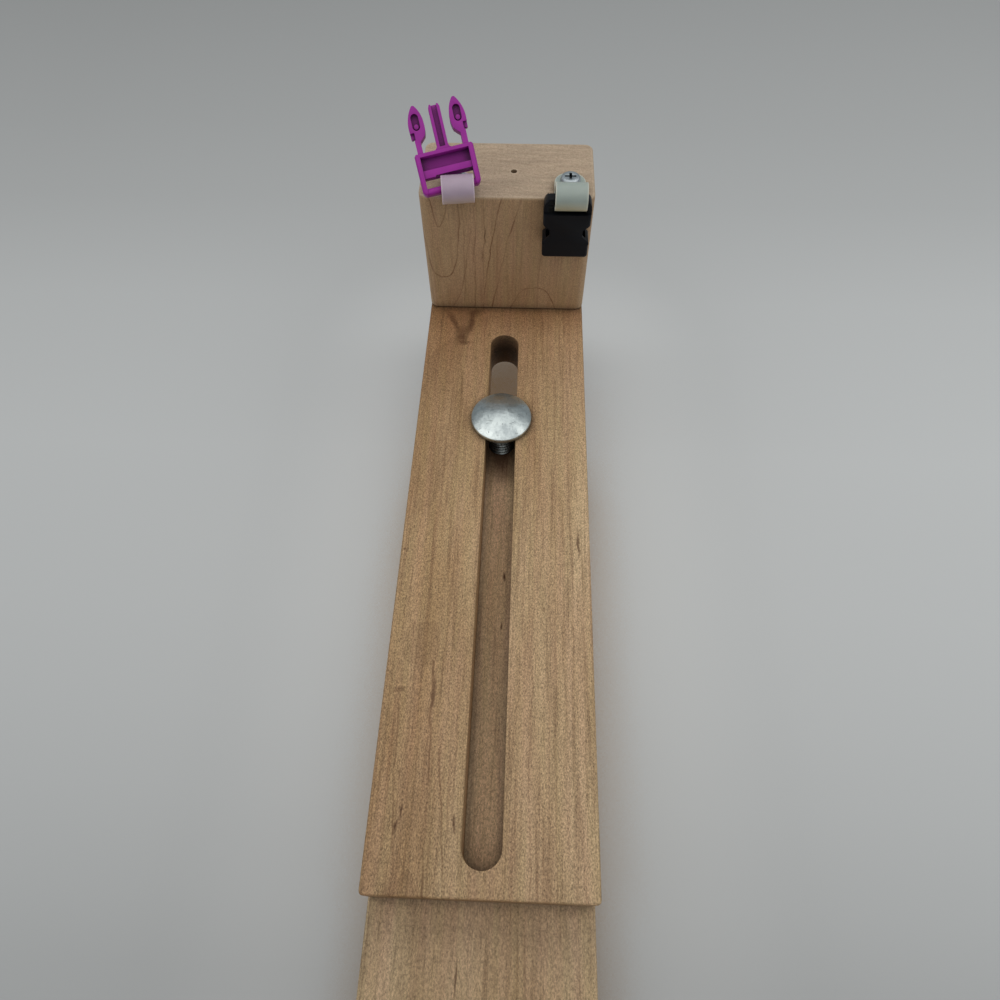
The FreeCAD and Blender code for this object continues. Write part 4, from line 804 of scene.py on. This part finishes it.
# %% Buckles and clips
softened("far_male_buckle", "far_pronged_buckle", purple_acetal, "far_male", 0.22)
softened("far_female_buckle", "far_hollow_buckle", black_acetal, "far_female", 0.25)
softened("near_female_buckle", "near_hollow_buckle", purple_acetal, "near_female", 0.25)
softened("near_male_buckle", "near_pronged_buckle", black_acetal, "near_male", 0.22)
for side, body, nylon in (("far_left", "slide", nylon_lit_by_purple), ("far_right", "slide", natural_nylon),
                          ("near_left", "base", nylon_lit_by_purple), ("near_right", "base", natural_nylon)):
    softened(side + "_clip", side + "_nylon_clip", nylon, body, 0.2)

# %% [markdown]
# Pressed and cast fastenings have rounds too: small ones on screw heads and the washer, a bigger one on
# the cast wing nut, and full ones on the rubber feet. The screws into the blocks are out of sight inside
# the wood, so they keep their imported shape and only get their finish.

# %% Screws, washer, wing nut and feet
for which, body in (("far_clip", "slide"), ("near_clip", "base"), ("foot", "base")):
    pan = which.replace("_clip", "") + "_pan_screws"
    softened(which + "_screws", pan, screw_zinc, body, 0.12)
softened("flat_washer", "round_washer", washer_zinc, "washer", 0.2)
softened("wing_nut", "cast_wing_nut", nut_zinc, "wing_nut", 0.35)
for node in ("far_block_screws", "near_block_screws"):
    nodes[node].data.materials.clear()
    nodes[node].data.materials.append(screw_zinc)
for corner in ("near_left", "near_right", "far_left", "far_right"):
    softened("foot_" + corner, corner + "_rubber_foot", foot_rubber, "base", 0.7, segments=3)

# %% [markdown]
# ## Floor, light and camera
#
# The jig was photographed indoors on a plain pale ground, in soft light from above, so faces that look at
# the camera are in gentle shade. The ground gets darker away from the middle. Bending the lamps to do
# that would change the wood as well, so the paper's own tone does it, as a long ramp along the board.

# %% Floor
FLOOR_LEVEL = -15.875
ground = bmesh.new()
bmesh.ops.create_grid(ground, x_segments=1, y_segments=1, size=3.0)
bmesh.ops.translate(ground, verts=ground.verts, vec=(0, 0, (FLOOR_LEVEL - 0.2) * MM))
floor_mesh = bpy.data.meshes.new("studio_floor")
ground.to_mesh(floor_mesh)
ground.free()
floor = bpy.data.objects.new("studio_floor", floor_mesh)
bpy.context.collection.objects.link(floor)
print("floor at", FLOOR_LEVEL, "mm")

# %% Paper
# uncoated paper: pale, dead flat, with a fine tooth
paper, tree = new_material("paper_backdrop")
spot = add(tree, "TexCoord").outputs["Object"]
apart = add(tree, "SeparateXYZ", {0: spot})
# painted light falloff: places in mm along the board, each with the share of full paper tone there
near, far = -150, 550
painted_paper_light = [(near, 0.66), (-71, 0.79), (-50, 0.86), (-20, 0.93), (13, 0.98), (50, 1.02), (125, 1.055),
               (221, 0.99), (304, 0.85), (385, 0.78), (514, 0.70), (far, 0.68)]
share = add(tree, "MapRange", {"Value": apart.outputs[1], "From Min": near * MM, "From Max": far * MM})
paper_stops = [((at - near) / (far - near), (0.570 * tone, 0.595 * tone, 0.612 * tone, 1))
               for at, tone in painted_paper_light]
falloff = add(tree, "ValToRGB", {"Fac": share}, stops=paper_stops)
# painted light: it is a little lighter on the right
aside = add(tree, "MapRange", {"Value": apart.outputs[0], "From Min": -0.3, "From Max": 0.3,
                               "To Min": 0.934, "To Max": 1.066})
tilted = add(tree, "VectorMath", {0: falloff, "Scale": aside}, operation="SCALE")
# close to the board the paper is paler, which evens out the shade that the board throws
spread = add(tree, "VectorMath", {0: spot, 1: (0.0, -0.05, 0.0)})
folded = add(tree, "VectorMath", {0: spread}, operation="ABSOLUTE")
beyond = add(tree, "VectorMath", {0: folded, 1: (0.028, 0.140, 1.0)}, operation="SUBTRACT")
outer = add(tree, "VectorMath", {0: beyond, 1: (0.0, 0.0, 0.0)}, operation="MAXIMUM")
reach = add(tree, "VectorMath", {0: outer}, operation="LENGTH")
lift = add(tree, "MapRange", {"Value": reach, "From Min": 0.0, "From Max": 0.08, "To Min": 1.26,
                              "To Max": 1.0}, interpolation_type="SMOOTHSTEP")
evened = add(tree, "VectorMath", {0: tilted, "Scale": lift}, operation="SCALE")
# painted shade and warm bounce light: under the overhanging end of the slide the paper is dimmed and
# browned by the wood over it
roof = add(tree, "AmbientOcclusion", {"Distance": 50 * MM}, samples=8)
brown = add(tree, "MapRange", {"Value": roof.outputs["AO"], "From Min": 0.65, "From Max": 0.56},
            interpolation_type="SMOOTHSTEP")
warm = add(tree, "Mix", {"Factor": brown, "A": (1, 1, 1, 1), "B": (0.70, 0.474, 0.28, 1)}, data_type="RGBA")
tinted = add(tree, "VectorMath", {0: evened, 1: warm}, operation="MULTIPLY")
# the paper's tooth, about 1 mm
tooth_noise = add(tree, "TexNoise", {"Vector": spot, "Scale": 900.0, "Detail": 3.0})
paper_bump = add(tree, "Bump", {"Height": tooth_noise, "Distance": 0.03 * MM, "Strength": 0.3})
surface(tree, {"Base Color": tinted, "Roughness": 0.9, "Normal": paper_bump})
floor_mesh.materials.append(paper)
print("paper has", len(tree.nodes), "nodes")

# %% [markdown]
# One wide lamp overhead stands for a ceiling of light, with an even sky to fill the shade. Small lamps
# would give hard shadows, and the dome of the bolt would show each of them as a spot.

# %% Light
scene = bpy.context.scene
world = bpy.data.worlds.new("soft_room")
scene.world = world
world.use_nodes = True
sky = world.node_tree.nodes["Background"]
sky.inputs["Color"].default_value = linear("f0f6f8")
sky.inputs["Strength"].default_value = 0.30

light = bpy.data.lights.new("ceiling_light", "AREA")
light.shape = "RECTANGLE"
light.size = 5.0
light.size_y = 2.6
light.energy = 33.0
light.color = linear("fffaf4")[:3]
lamp = bpy.data.objects.new("ceiling_light", light)
lamp.location = (0.0, -0.05, 1.5)
lamp.rotation_euler = (Vector((0, 0.02, 0)) - lamp.location).to_track_quat("-Z", "Y").to_euler()
bpy.context.collection.objects.link(lamp)
print("lamp of", light.size, "by", light.size_y, "m,", light.energy, "W")

# %% [markdown]
# The camera is close and looks down along the board, which is why the near end is so much wider than the
# far one. Its place and tilt were worked out from the board's straight edges.

# %% Camera
view = bpy.data.cameras.new("photo_camera")
view.sensor_width = 36
view.lens = 24.86
view.clip_start = 0.01
camera = bpy.data.objects.new("photo_camera", view)
camera.location = (0.007149, -0.055057, 0.238400)
camera.rotation_euler = (math.radians(31.2766), math.radians(0.4497), math.radians(2.1411))
bpy.context.collection.objects.link(camera)
scene.camera = camera
scene.view_settings.view_transform = "Standard"
print("camera at", [round(v * 1000, 1) for v in camera.location])
